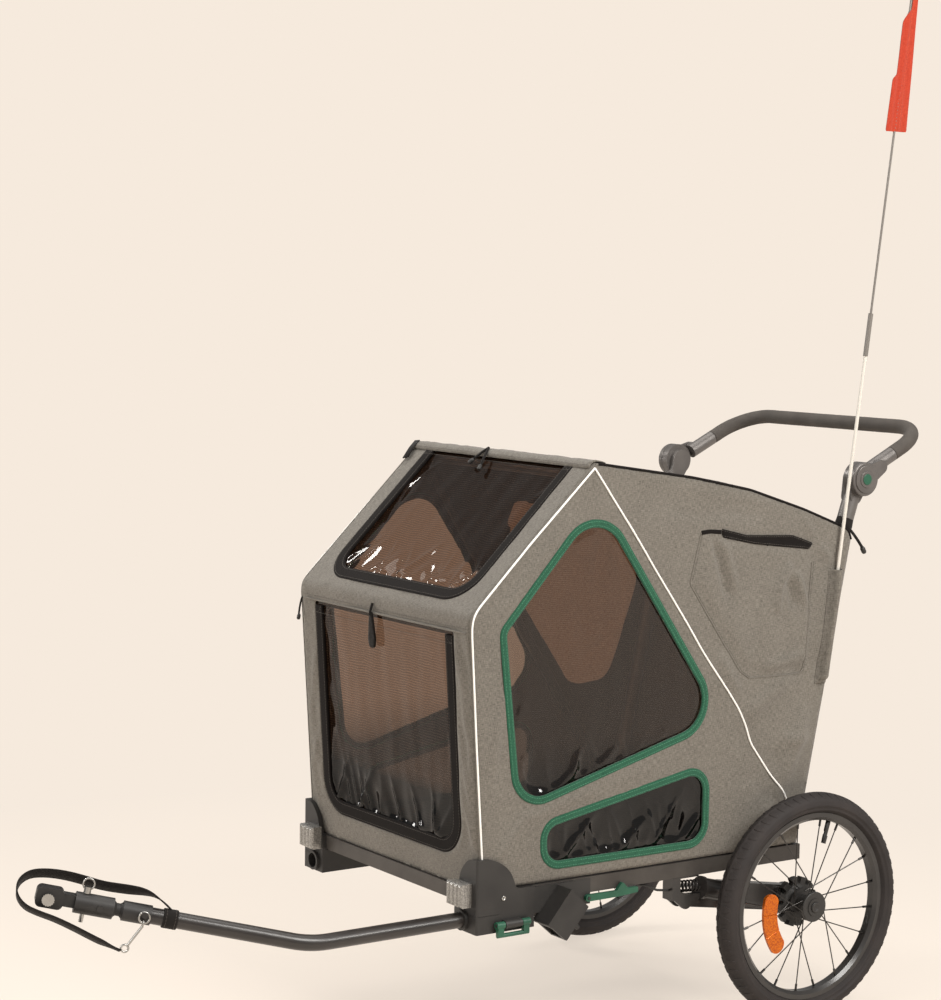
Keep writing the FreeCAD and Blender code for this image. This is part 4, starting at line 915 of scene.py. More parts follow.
class Stuff:
    """Every finish on the trailer."""

    grey = Cloth("grey_melange", (80, 76, 70), (126, 121, 113))
    lining = Cloth("dark_lining", (58, 53, 48), (80, 74, 67))
    black = Cloth("black_binding", (15, 12, 11), (28, 24, 22), threads=700.0, sheen=0.03, shine=0.12)
    green = Cloth("green_binding", (20, 66, 48), (42, 96, 72), threads=800.0, relief=0.5)
    webbing = Cloth("black_webbing", (20, 18, 17), (36, 33, 31), threads=420.0, relief=0.8, sheen=0.06,
                    shine=0.16)
    piping = Cloth("reflective_piping", (226, 224, 220), (250, 249, 246), threads=600.0, relief=0.2)
    orange = Cloth("orange_nylon", (150, 42, 22), (178, 62, 38), threads=1100.0, relief=0.2)
    # The brown mesh lining glows: painted light.
    mesh = Cloth("brown_mesh", (120, 92, 72), (172, 138, 112), threads=260.0, relief=0.6, glow=0.6)
    thread_orange = Cloth("orange_thread", (190, 70, 34), (216, 96, 58))
    thread_dark = Cloth("dark_thread", (60, 56, 52), (92, 86, 80))
    thread_green = Cloth("green_thread", (60, 120, 94), (92, 150, 122))
    # Both vinyls are painted darker towards their foot: painted shade.
    vinyl = Vinyl("window_vinyl", (106, 86, 73), (136, 114, 98), painted_shade_band=(0.44, 0.52), painted_shade_share=0.06)
    door_vinyl = Vinyl("door_vinyl", (78, 56, 43), (138, 107, 87), ridges=235.0, painted_shade_band=(0.14, 0.165),
                       painted_shade_share=0.02, coat=0.6)
    paint = Moulded("charcoal_paint", (36, 32, 30), (46, 41, 38), grain=2200.0, gloss=(0.3, 0.42), coat=0.25)
    gunmetal = Moulded("gunmetal", (92, 88, 86), (110, 106, 103), gloss=(0.32, 0.44), metallic=0.45)
    rim = Moulded("black_rim", (36, 34, 33), (48, 45, 43), gloss=(0.26, 0.38), coat=0.3)
    rail = Moulded("satin_rail", (62, 58, 55), (76, 72, 68), grain=1800.0, gloss=(0.36, 0.5), metallic=0.3)
    plastic = Moulded("matt_black_plastic", (36, 34, 33), (47, 45, 43), gloss=(0.42, 0.58))
    foam = Moulded("grip_foam", (64, 59, 55), (80, 75, 70), grain=900.0, relief=0.5, gloss=(0.8, 0.92))
    rubber = Moulded("ribbed_rubber", (32, 27, 26), (46, 40, 38), grain=700.0, relief=0.25, gloss=(0.68, 0.85))
    soft_rubber = Moulded("soft_black_rubber", (30, 28, 27), (42, 40, 38), gloss=(0.55, 0.7))
    green_plastic = Moulded("satin_green_plastic", (22, 70, 52), (34, 88, 66), gloss=(0.35, 0.48))
    dark_steel = Moulded("darkened_steel", (58, 56, 55), (86, 84, 82), gloss=(0.25, 0.38), metallic=0.9)
    steel = Moulded("zinc_steel", (168, 166, 162), (204, 202, 198), gloss=(0.2, 0.36), metallic=1.0)
    white_rod = Moulded("glassfibre_rod", (205, 200, 192), (112, 107, 102), gloss=(0.3, 0.45), split=1.13)
    clear = Prism("clear_prism", (124, 122, 118), (178, 175, 170))
    amber = Prism("amber_prism", (172, 76, 0), (226, 120, 0))
    spring = Moulded("blackened_spring", (40, 38, 37), (58, 55, 53), gloss=(0.3, 0.42), metallic=0.6)


# Studio
@dataclass
class Studio:
    """Pale floor, soft lamps and the camera at the photograph's viewing angle."""

    cream: Point3 = srgb(246, 234, 221)
    eye: Point3 = (3273.2, -2725.8, 1229.3)
    yaw: float = 55.8
    pitch: float = 5.0
    roll: float = 0.87
    lens: float = 85.57
    reach: float = 14.0
    floor_share: float = 0.32
    world_strength: float = 0.34

    def camera(self) -> None:
        """Make the camera."""
        a, e, r = (math.radians(v) for v in (self.yaw, self.pitch, self.roll))
        back = Vector((math.sin(a) * math.cos(e), -math.cos(a) * math.cos(e), math.sin(e)))
        level = Vector((math.cos(a), math.sin(a), 0.0))
        up = back.cross(level)
        right = level * math.cos(r) + up * math.sin(r)
        top = up * math.cos(r) - level * math.sin(r)
        data = bpy.data.cameras.new("camera")
        data.lens = self.lens
        data.sensor_width = 36.0
        data.clip_end = 60.0
        camera = link_object("camera", data)
        turn = Matrix((right, top, back)).transposed().to_4x4()
        camera.matrix_world = Matrix.Translation(at(*self.eye)) @ turn
        bpy.context.scene.camera = camera

    def backdrop_shader(self, material: bpy.types.Material) -> None:
        """Show the backdrop's own cream to the eye, with a share of real shading near the object."""
        wires = Wiring(material.node_tree)
        shader = material.node_tree.nodes["Principled BSDF"]
        wires.fill(shader, {"Base Color": (*self.cream, 1.0), "Roughness": 0.9, "Specular IOR Level": 0.1})
        path = wires.add("ShaderNodeLightPath")
        seen = wires.math("MAXIMUM", path.outputs["Is Camera Ray"], path.outputs["Is Glossy Ray"])
        seen = wires.math("MAXIMUM", seen, path.outputs["Is Transmission Ray"])
        glow = wires.add("ShaderNodeEmission", {"Color": (*self.cream, 1.0), "Strength": 1.0})
        spot = wires.add("ShaderNodeTexCoord").outputs["Object"]
        far = wires.add("ShaderNodeVectorMath", {0: spot}, operation="LENGTH").outputs["Value"]
        limits = {"Value": far, "From Min": 0.5, "From Max": 1.9, "To Min": self.floor_share, "To Max": 0.0}
        real = wires.add("ShaderNodeMapRange", limits).outputs["Result"]
        share = wires.math("MULTIPLY", seen, wires.math("SUBTRACT", 1.0, real))
        mix = wires.add("ShaderNodeMixShader", {0: share, 1: shader.outputs[0], 2: glow.outputs[0]})
        wires.fill(material.node_tree.nodes["Material Output"], {"Surface": mix.outputs[0]})

    def floor(self) -> None:
        """Make the floor."""
        far = self.reach
        corners = [Vector((x, y, 0.0)) for x, y in ((-far, -far), (far, -far), (far, far), (-far, far))]
        floor = from_faces("floor", corners, [(0, 1, 2, 3)], smooth=False)
        material = bpy.data.materials.new("studio_floor")
        material.use_nodes = True
        self.backdrop_shader(material)
        floor.data.materials.append(material)

    def world(self) -> None:
        """Light the studio evenly, and show cream behind the object."""
        world = bpy.data.worlds.new("studio")
        bpy.context.scene.world = world
        world.use_nodes = True
        wires = Wiring(world.node_tree)
        path = wires.add("ShaderNodeLightPath")
        seen = wires.math("MAXIMUM", path.outputs["Is Camera Ray"], path.outputs["Is Transmission Ray"])
        soft = world.node_tree.nodes["Background"]
        wires.fill(soft, {"Color": (1.0, 0.975, 0.94, 1.0), "Strength": self.world_strength})
        shown = wires.add("ShaderNodeBackground", {"Color": (*self.cream, 1.0), "Strength": 1.0})
        mix = wires.add("ShaderNodeMixShader", {0: seen, 1: soft.outputs[0], 2: shown.outputs[0]})
        wires.fill(world.node_tree.nodes["World Output"], {"Surface": mix.outputs[0]})

    def lamp(self, name: str, place: Vector, aim: Vector, size: float, power: float) -> None:
        """Hang a soft square lamp.

        Args:
            name: The lamp's name.
            place: Where it hangs, in metres.
            aim: Where it points, in metres.
            size: Side of the lamp, in metres.
            power: Power in watts.
        """
        data = bpy.data.lights.new(name, "AREA")
        data.size = size
        data.energy = power
        data.color = (1.0, 0.97, 0.93)
        turn = (aim - place).to_track_quat("-Z", "Y").to_matrix().to_4x4()
        link_object(name, data).matrix_world = Matrix.Translation(place) @ turn

    def build(self) -> None:
        """Set up the whole studio."""
        bpy.context.scene.view_settings.view_transform = "Standard"
        middle = at(0.0, -300.0, 500.0)
        self.floor()
        self.world()
        self.lamp("key", Vector((3.4, 0.6, 3.6)), middle, 1.8, 165.0)
        self.lamp("front_fill", Vector((0.6, -4.6, 2.2)), middle, 2.6, 60.0)
        self.lamp("top", Vector((-0.6, 0.2, 4.4)), middle, 3.0, 85.0)
        self.lamp("front_glint", Vector((-2.1, -1.5, 2.6)), at(0.0, -600.0, 700.0), 0.7, 42.0)
        self.lamp("door_glint", Vector((-2.6, -2.2, 0.9)), at(0.0, -660.0, 420.0), 0.4, 12.0)
        self.lamp("side_glint", Vector((2.9, 1.5, 2.1)), at(260.0, -400.0, 550.0), 0.6, 30.0)
        self.camera()
        LOG.info("studio ready")


# Cabin
@dataclass(frozen=True)
class Fold:
    """A soft fold in cloth: a rounded ridge or valley along a line."""

    start: Point2
    end: Point2
    width: float
    height: float

    def rise(self, a: float, b: float) -> float:
        """Height of the fold at a place on the cloth, in millimetres."""
        run = Vector(self.end) - Vector(self.start)
        reach = Vector((a, b)) - Vector(self.start)
        share = reach.dot(run) / run.length_squared
        if not -0.1 < share < 1.1:
            return 0.0
        across = (reach - run * share).length
        taper = ease(1.0 - abs(2.0 * share - 1.0) ** 3)
        return self.height * bell(across, self.width) * taper


class Wrap:
    """A strip of cloth that follows a line in the side view, measured by its length along that line."""

    def __init__(self, corners: Sequence[Point2], radii: Sequence[float]) -> None:
        """Round the corners of the line and measure it."""
        line: list[Point2] = [corners[0]]
        for i in range(1, len(corners) - 1):
            corner = Vector(corners[i])
            before = (Vector(corners[i - 1]) - corner).normalized()
            after = (Vector(corners[i + 1]) - corner).normalized()
            half = 0.5 * before.angle(after)
            reach = radii[i] / math.tan(half)
            for k in range(13):
                t = k / 12.0
                bend = before * (reach * (1.0 - t) ** 2) + after * (reach * t ** 2)
                line.append(tuple(corner + bend))
        line.append(corners[-1])
        self.line = np.array(line)
        self.runs = run_along(self.line)
        self.length = float(self.runs[-1])

    def point(self, s: float) -> Point2:
        """The (y, z) place at length s."""
        return tuple(float(np.interp(s, self.runs, self.line[:, i])) for i in (0, 1))

    def normal(self, s: float) -> Point2:
        """The outward direction at length s, as (y, z)."""
        a, b = self.point(max(0.0, s - 4.0)), self.point(min(self.length, s + 4.0))
        along = (Vector(b) - Vector(a)).normalized()
        return (-along.y, along.x)

    def nearest(self, y: float, z: float) -> float:
        """Length at the place of the line nearest to (y, z)."""
        marks = np.linspace(0.0, self.length, 800)
        ys, zs = (np.interp(marks, self.runs, self.line[:, i]) for i in (0, 1))
        return float(marks[np.argmin((ys - y) ** 2 + (zs - z) ** 2)])


@dataclass
class Cabin:
    """The cloth cabin: two sides, front, roof and back, windows, bindings, piping and pocket."""

    half: float = 261.0
    hem: float = 6.0
    thickness: float = 1.6
    pane_depth: float = 3.4
    binding: float = 12.0
    front_binding: float = 22.0
    door_half: float = 212.0
    door_top: float = 700.0
    door_foot: float = 336.0
    window_corner: float = 60.0
    front_foot: Point2 = (-647.0, 291.0)
    eave: Point2 = (-677.0, 727.0)
    apex: Point2 = (-439.0, 962.0)
    roof_bend: Point2 = (-110.0, 915.0)
    rear_top: Point2 = (124.0, 829.0)
    rear_foot: Point2 = (13.0, 291.0)
    upright_x: float = 244.5
    upright_exit: Point2 = (113.3, 832.9)
    upright_hole: float = 14.4
    fold_floor: float = 291.0
    fold_keep: float = 0.01
    big_window: Outline = Outline(((-430.0, 913.0), (-152.0, 521.0), (-585.0, 405.0), (-620.0, 703.0)),
                                  (72.0, 66.0, 58.0, 30.0))
    low_window: Outline = Outline(((-188.0, 454.0), (-188.0, 311.5), (-534.0, 311.5), (-534.0, 390.0)),
                                  (40.0, 42.0, 38.0, 36.0))
    pocket: Outline = Outline(((-219.0, 843.0), (-240.0, 756.0), (-125.0, 598.0), (10.0, 587.0), (30.0, 812.0)),
                              (6.0, 12.0, 14.0, 14.0, 6.0))
    pocket_swell: float = 5.0
    slack: float = 1.0
    edge_reach: float = 16.0
    loose_reach: float = 45.0
    fold_gain: float = 1.9
    stitch_inset: float = 2.6
    stitch_lift: float = 1.7

    def __post_init__(self) -> None:
        """Lay out the strips and outlines that the pieces share."""
        corners = (self.front_foot, self.eave, self.apex, self.roof_bend, self.rear_top, self.rear_foot)
        self.side = Outline(corners, (2.0, 25.0, 18.0, 1200.0, 22.0, 2.0))
        self.front = Wrap((self.front_foot, self.eave, self.apex), (0.0, 25.0, 0.0))
        self.roof = Wrap((self.apex, self.roof_bend, self.rear_top, self.rear_foot), (0.0, 1200.0, 22.0, 0.0))
        self.over = Wrap((self.eave, self.apex, self.roof_bend), (0.0, 12.0, 0.0))
        self.inset = self.hem * (1.0 - math.sqrt(0.5))
        self.edge = self.side.points(0.0, 3.0)
        self.frames = [self.big_window.points(0.0, 3.0), self.low_window.points(0.0, 3.0)]
        self.pocket_edge = self.pocket.points(0.0, 4.0)
        self.pocket_rough = self.pocket.points(0.0, 40.0)
        self.pocket_box = (self.pocket_edge.min(axis=0), self.pocket_edge.max(axis=0))
        self.slant_start = self.front.nearest(*self.eave)
        self.side_folds = [
            Fold((-640.0, 700.0), (-480.0, 890.0), 11.0, 2.6), Fold((-120.0, 520.0), (-10.0, 590.0), 15.0, 4.2),
            Fold((-60.0, 330.0), (30.0, 540.0), 18.0, 4.6), Fold((-150.0, 420.0), (-30.0, 450.0), 14.0, -4.0),
            Fold((-640.0, 420.0), (-606.0, 640.0), 9.0, 2.4), Fold((-628.0, 330.0), (-550.0, 420.0), 9.0, 2.6),
            Fold((-300.0, 890.0), (-60.0, 868.0), 14.0, -3.2), Fold((44.0, 600.0), (92.0, 790.0), 12.0, 3.6),
            Fold((-128.0, 500.0), (-30.0, 345.0), 12.0, -3.4), Fold((-90.0, 600.0), (20.0, 622.0), 9.0, 3.4),
            Fold((-600.0, 690.0), (-628.0, 560.0), 10.0, -2.4),
            Fold((-570.0, 398.0), (-420.0, 434.0), 9.0, 2.6),
            Fold((-180.0, 640.0), (-128.0, 560.0), 12.0, 3.2), Fold((-40.0, 480.0), (60.0, 470.0), 13.0, 3.4),
            Fold((-196.0, 834.0), (-156.0, 722.0), 7.0, -5.0), Fold((-178.0, 834.0), (-142.0, 734.0), 8.0, 2.6),
            Fold((-22.0, 782.0), (-50.0, 742.0), 7.0, 4.2), Fold((-49.0, 752.0), (-53.0, 694.0), 7.0, 3.8),
            Fold((-14.0, 768.0), (17.0, 700.0), 7.0, 4.4), Fold((15.0, 716.0), (9.0, 598.0), 8.0, 3.6),
            Fold((-30.0, 756.0), (-12.0, 700.0), 8.0, -3.4), Fold((44.0, 806.0), (70.0, 780.0), 7.0, 2.6),
            Fold((2.0, 868.0), (30.0, 822.0), 8.0, 3.0), Fold((-12.0, 600.0), (12.0, 582.0), 6.0, -3.0),
        ]

    def flattens(self, piece: Piece, *nodes: str) -> Piece:
        """Ride a cloth piece on the chassis with its own mesh, and hide the CAD nodes it stands for.

        Args:
            piece: The piece.
            nodes: CAD nodes that it stands for.

        Returns:
            The same piece.
        """
        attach(piece, "chassis")
        tuple(at(0.0, 0.0, self.fold_floor))
        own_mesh(piece)
        if nodes:
            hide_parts(*nodes)
        LOG.info("cloth piece %s", piece.name)
        return piece

    def swell(self, y: float, z: float, seed: float) -> float:
        """How far the side cloth stands out of its flat plane, in millimetres.

        Args:
            y: Place along the trailer.
            z: Height.
            seed: Picks the pattern of small unevenness.

        Returns:
            The height.
        """
        here = np.array((y, z))
        gap = gap_to(self.edge, y, z)
        loose = ease(gap / self.loose_reach)
        height = loose * (3.2 * crumple(y, z, 190.0, seed) + 2.0 * crumple(y, z, 70.0, seed + 3.0) + 0.8)
        height += 0.4 * crumple(y, z, 24.0, seed + 5.0) * ease(gap / 12.0)
        height += self.fold_gain * loose * sum(fold.rise(y, z) for fold in self.side_folds)
        for window in self.frames:
            distances = np.sum((window - here) ** 2, axis=1)
            i = int(np.argmin(distances))
            away = math.sqrt(distances[i])
            if away < 60.0:
                height += 0.7 * math.sin(i * 3.0 * math.tau / 31.0 + seed) * bell(away, 16.0)
                height *= 0.35 + 0.65 * ease(away / 26.0)
        low, high = self.pocket_box
        if np.all(here > low) and np.all(here < high) and inside(here[None, :], self.pocket_rough)[0]:
            deep = gap_to(self.pocket_edge, y, z)
            height += ease(deep / 26.0) * (self.pocket_swell + 3.0 * crumple(y, 0.4 * z, 46.0, seed + 9.0))
        return max(-self.slack, height) - self.drop(self.hem - gap)

    def drop(self, rim: float) -> float:
        """How far the cloth falls away at a distance past the start of its rounded edge."""
        return self.hem - math.sqrt(max(0.0, self.hem ** 2 - rim ** 2)) if rim > 0.0 else 0.0

    def on_side(self, side: Side, y: float, z: float, lift: float) -> Vector:
        """Point on a side's cloth, lifted off it."""
        seed = 2.0 if side is Side.LEFT else 7.5
        return at(side.value * (self.half + self.swell(y, z, seed) + lift), y, z)

    def side_cloth(self, side: Side) -> None:
        """Make one side of the cabin with its window holes and pocket.

        Args:
            side: Left or right.
        """
        holes = [w.points(3.0 - self.binding, 6.0) for w in (self.big_window, self.low_window)]
        sheet = Sheet(self.side.points(-self.inset, 6.0), holes, 6.4)

        def place(y: float, z: float) -> Vector:
            return self.on_side(side, y, z, 0.0)

        self.panel(side.word + "_side", sheet, place, (side.value, 0.0, 0.0))

    def panel(self, name: str, sheet: Sheet, place: Place, way: Point3) -> None:
        """Hang a lined grey panel, as cloth stretched on the folding frame.

        Args:
            name: The panel's name, without its ending.
            sheet: Its flat pattern.
            place: Gives the point in metres for a place on the pattern.
            way: Direction that its outside faces.
        """
        cloth = paint(sheet.hung(name + "_cloth", place, way), Stuff.grey, Stuff.lining)
        cloth = self.flattens(thickened(cloth, self.thickness), name + "_panel")
        wide, tall = (float(v) * MM for v in np.ptp(sheet.outer, axis=0))

    def strip_point(self, strip: Wrap, x: float, s: float, height: float) -> Vector:
        """Point on a strip's outside, lifted by height, with its edges rounded off."""
        y, z = strip.point(s)
        ny, nz = strip.normal(s)
        lift = height - self.drop(abs(x) - (self.half - self.hem))
        return at(x, y + ny * lift, z + nz * lift)

    def edge_fade(self, x: float) -> float:
        """Share of the unevenness that is left beside the edges of a strip."""
        return ease((self.half - abs(x)) / self.edge_reach)

    def on_front(self, x: float, s: float, height: float) -> Vector:
        """Point on the front strip's outside, lifted by height."""
        return self.strip_point(self.front, x, s, height)

    def strip_outline(self, start: float, end: float) -> np.ndarray:
        """Rectangle of a strip in (x, s)."""
        half = self.half - self.inset
        return rectangle(-half, start, half, end, 0.5).points(0.0, 7.0)

    def door_shape(self) -> Outline:
        """The door's outline in the front strip's (x, s)."""
        foot = self.front.nearest(*self.front_place(self.door_foot))
        top = self.front.nearest(*self.front_place(self.door_top))
        return self.window_shape(self.door_half, foot, top)

    def slant_shape(self) -> Outline:
        """The slanted window's outline in the front strip's (x, s)."""
        return self.window_shape(self.door_half + 3.0, self.slant_start + 24.0, self.front.length - 4.0)

    def window_shape(self, half: float, foot: float, top: float) -> Outline:
        """A front window's outline: small corners at the top, large at the foot."""
        corners = ((-half, top), (-half, foot), (half, foot), (half, top))
        return Outline(corners, (2.0, self.window_corner, self.window_corner, 2.0))

    def front_place(self, z: float) -> Point2:
        """Place on the front face at a height."""
        share = (z - self.front_foot[1]) / (self.eave[1] - self.front_foot[1])
        return (self.front_foot[0] + share * (self.eave[0] - self.front_foot[0]), z)

    def front_cloth(self) -> None:
        """Make the front: the frame round the door and the slanted top."""
        door = self.door_shape().points(1.0, 6.0)
        glass = self.pane_shape(self.slant_shape(), self.front_binding - 3.0, -4.0).points(0.0, 6.0)
        sheet = Sheet(self.strip_outline(0.0, self.front.length), [door, glass], 6.4)
        edge = self.door_half
        folds = [
            Fold((edge + 6.0, 400.0), (edge + 30.0, 240.0), 5.0, 3.4),
            Fold((edge + 20.0, 390.0), (edge + 40.0, 170.0), 5.0, 2.8),
            Fold((edge + 4.0, 270.0), (edge + 34.0, 120.0), 5.0, 3.2),
            Fold((edge + 6.0, 170.0), (edge + 38.0, 60.0), 6.0, 3.2),
            Fold((-edge - 6.0, 330.0), (-edge - 34.0, 200.0), 6.0, 2.6),
            Fold((-edge - 4.0, 190.0), (-edge - 36.0, 110.0), 6.0, 2.8),
        ]

        def place(x: float, s: float) -> Vector:
            height = 1.4 * crumple(x, s, 120.0, 4.0) + 0.7 * crumple(x, s, 42.0, 6.0)
            near_eave = bell(s - self.slant_start, 26.0)
            height += near_eave * (1.2 * crumple(x, s, 30.0, 8.0) - 0.8)
            beside = ease((abs(x) - self.door_half) / 10.0) * ease((self.slant_start - s) / 40.0)
            height += beside * 3.4 * crumple(2.6 * x + 0.5 * s, 0.6 * s, 46.0, 18.0)
            height += sum(fold.rise(x, s) for fold in folds)
            return self.on_front(x, s, height * self.edge_fade(x))

        self.panel("front", sheet, place, (0.0, -1.0, 0.3))

    def roof_and_back(self) -> None:
        """Make the roof and the back as two strips, with holes for the frame's uprights."""
        seam = self.roof.nearest(93.0, 800.0)
        exit_at = self.roof.nearest(*self.upright_exit)
        holes = []
        for sign in (-1.0, 1.0):
            angles = np.linspace(0.0, math.tau, 25)[:-1]
            holes.append(np.stack([sign * self.upright_x + self.upright_hole * np.cos(angles),
                                   exit_at + self.upright_hole * np.sin(angles)], axis=1))

        def place(x: float, s: float) -> Vector:
            sag = -3.0 * math.sin(math.pi * min(1.0, s / seam)) * ease((self.half - abs(x)) / 120.0)
            height = sag + 1.8 * crumple(x, s, 170.0, 12.0) + 0.8 * crumple(x, s, 55.0, 15.0)
            return self.strip_point(self.roof, x, s, height * self.edge_fade(x))

        roof = Sheet(self.strip_outline(0.0, seam), holes, 9.0)
        self.panel("roof", roof, place, (0.0, 0.2, 1.0))
        rear = Sheet(self.strip_outline(seam, self.roof.length), [], 10.0)
        self.panel("rear", rear, place, (0.0, 1.0, 0.1))

    def pane_shape(self, shape: Outline, sides: float, top: float) -> Outline:
        """A front window's pane or hole: its border drawn in by sides, and by top at its upper edge."""
        (left, upper), (_, foot), (right, _), _ = shape.corners
        corners = ((left + sides, upper - top), (left + sides, foot + sides), (right - sides, foot + sides),
                   (right - sides, upper - top))
        return Outline(corners, (4.0, self.window_corner - sides, self.window_corner - sides, 4.0))

    def buckled(self, outline: np.ndarray, seed: float, strength: float) -> Place:
        """Give the height of a vinyl pane: sharp creases low down and at its ends, soft waves above.

        Args:
            outline: The pane's outline.
            seed: Picks the pattern.
            strength: Height of the creases.

        Returns:
            A function of the place on the pane that gives its height in millimetres.
        """
        foot, left, right = outline[:, 1].min(), outline[:, 0].min(), outline[:, 0].max()

        def height(a: float, b: float) -> float:
            rim = gap_to(outline, a, b)
            low = ease(1.0 - (b - foot) / 120.0)
            ends = 0.5 * ease(1.0 - (a - left) / 70.0) + 0.35 * ease(1.0 - (right - a) / 50.0)
            soft = 2.2 * crumple(a, 0.6 * b, 120.0, seed) + 1.2 * crumple(1.6 * a, 0.5 * b, 44.0, seed + 1.0)
            up = b - foot
            sharp = ridged(a - 0.6 * up, 0.25 * up, 62.0, seed + 2.0)
            sharp += 0.6 * ridged(a + 0.3 * up, 0.2 * up, 34.0, seed)
            return ease((rim - 9.0) / 14.0) * (soft + strength * max(low, ends) * (sharp - 0.6))

        return height

    def side_windows(self, side: Side) -> None:
        """Make the panes and green bindings of one side."""
        sign = side.value
        panes, bands, seams = [], [], []
        for k, window in enumerate((self.big_window, self.low_window)):
            outline = window.points(-4.0, 5.0)
            rise = self.buckled(outline, 3.0 + 5.0 * k, 9.0)

            def place(y: float, z: float, rise: Place = rise) -> Vector:
                return at(sign * (self.half - self.pane_depth + rise(y, z)), y, z)

            def lifted(y: float, z: float, height: float) -> Vector:
                return at(sign * (self.half + 0.4 + height), y, z)

            pane = Sheet(outline, [], 4.0).hung(f"pane_{k}", place, (sign, 0.0, 0.0))
            panes.append(paint(pane, Stuff.vinyl))
            band = band_along(f"band_{k}", window.points(0.0, 5.0), self.flat_section(self.binding), lifted)
            bands.append(paint(band, Stuff.green))
            for inset in (-self.stitch_inset, self.stitch_inset - self.binding):
                line = [lifted(y, z, self.stitch_lift) for y, z in window.points(inset, 4.0)]
                seams.append(stitched("seam", line, Stuff.thread_green, closed=True))
        nodes = ["window_panes", "side_window_bindings"] if side is Side.LEFT else []
        self.flattens(merged(side.word + "_window_panes", panes), *nodes)
        self.flattens(merged(side.word + "_window_bindings", bands + seams))

    def flat_section(self, width: float) -> list[Point2]:
        """Section of an edge binding: flat, with rolled edges and a turned-in inner side."""
        outer = [(0.4, -1.0), (0.9, 0.2), (0.3, 1.0), (-1.2, 1.4), (-3.0, 1.5)]
        inner = [(3.0, 1.5), (1.2, 1.4), (-0.3, 0.9), (-0.7, 0.0), (-0.4, -3.0), (4.0, -3.2)]
        return outer + [(offset - width, height) for offset, height in inner]

    def sides_and_foot(self, shape: Outline, inset: float) -> np.ndarray:
        """The outline's left side, foot and right side, as an open line from top to top."""
        ring = shape.points(inset, 4.0)
        top = ring[:, 1].max()
        ring = ring[ring[:, 1] < top - 3.0]
        gaps = np.linalg.norm(np.roll(ring, -1, axis=0) - ring, axis=1)
        return np.roll(ring, -int(np.argmax(gaps)) - 1, axis=0)

    def border(self, name: str, shape: Outline, lifted: Lifted) -> Piece:
        """Black border round the sides and foot of a front window, with two rows of stitches."""
        section = self.flat_section(self.front_binding)
        band = band_along("band", self.sides_and_foot(shape, 0.0), section, lifted, closed=False)
        pieces = [paint(band, Stuff.black)]
        for inset in (-3.0, 3.0 - self.front_binding):
            row = [lifted(x, s, 1.55) for x, s in self.sides_and_foot(shape, inset)]
            pieces.append(stitched("seam", row, Stuff.thread_dark))
        return merged(name, pieces)

    def front_pane(self, name: str, shape: Outline, top: float, seed: float) -> Piece:
        """Vinyl pane of a front window, which runs up behind the cloth at its top."""
        outline = self.pane_shape(shape, 6.0, top).points(0.0, 5.0)
        rise = self.buckled(outline, seed, 12.0)

        def place(x: float, s: float) -> Vector:
            return self.on_front(x, s, rise(x, s) - self.pane_depth)

        return paint(Sheet(outline, [], 4.0).hung(name, place, (0.0, -1.0, 0.2)), Stuff.door_vinyl)

    def slant_window(self) -> None:
        """Make the slanted front window: pane, black border and its stitching."""
        shape = self.slant_shape()
        self.flattens(self.front_pane("slant_pane", shape, 2.0, 21.0))
        self.flattens(self.border("slant_window_border", shape, self.on_front), "front_window_binding")

    def door(self) -> None:
        """Make the front door: pane, black border and stitching, on its own body."""
        shape = self.door_shape()

        def lifted(x: float, s: float, height: float) -> Vector:
            return self.on_front(x, s, height - 0.4)

        pane = self.front_pane("front_door_glass", shape, -8.0, 33.0)
        border = self.border("front_door_border", shape, lifted)
        for piece, node in ((pane, "front_door_pane"), (border, "front_door")):
            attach(piece, "front_door")
            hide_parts(node)
            LOG.info("door piece %s", piece.name)

    def piping(self, side: Side) -> None:
        """Sew the white reflective piping on one side."""
        front_line = [(-441.0, 953.0), (-560.0, 840.0), (-664.0, 737.0), (-672.0, 724.0), (-672.5, 706.0),
                      (-660.0, 520.0), (-647.0, 343.0)]
        rear_line = [(-441.0, 953.0), (-360.0, 846.0), (-281.0, 740.0), (-211.0, 644.0), (-130.0, 539.0),
                     (-112.0, 508.0), (-99.0, 477.0), (-19.0, 374.0), (6.0, 340.0)]
        cords = []
        for route in (front_line, rear_line):
            dense = spaced(np.array(route), 14.0, closed=False)
            line = [self.on_side(side, y, z, 1.2) for y, z in dense]
            cords.append(paint(tube("cord", line, 1.6), Stuff.piping))
        self.flattens(merged(side.word + "_piping", cords))

    def build(self) -> None:
        """Make the whole cabin."""
        for side in Side:
            self.side_cloth(side)
            self.side_windows(side)
            self.piping(side)
        self.front_cloth()
        self.roof_and_back()
        self.slant_window()
        self.door()


# Sewn-on trimmings
Section = Callable[[int], Sequence[Point2]]


def swept(name: str, line: Sequence[Vector], section: Section, across: Vector) -> Piece:
    """Sweep a closed section along a line without letting it twist.

    Args:
        name: The piece's name.
        line: Points of the line in metres.
        section: Gives the section's (across, up) points in millimetres at each point of the line.
        across: Direction of the section's width at the start.

    Returns:
        The swept solid, with its length and girth as UV map.
    """
    verts, uv = [], []
    count, run = len(line), 0.0
    for i, point in enumerate(line):
        tangent = (line[min(i + 1, count - 1)] - line[max(i - 1, 0)]).normalized()
        across = (across - tangent * across.dot(tangent)).normalized()
        up = tangent.cross(across)
        run += (point - line[i - 1]).length if i else 0.0
        shape = section(i)
        for k, (wide, high) in enumerate(shape):
            verts.append(point + (across * wide + up * high) * MM)
            uv.append((wide * MM if len(shape) < 12 else k * 0.006, run))
    return outwards(from_faces(name, verts, skin(count, len(shape), closed=False), uv=uv))


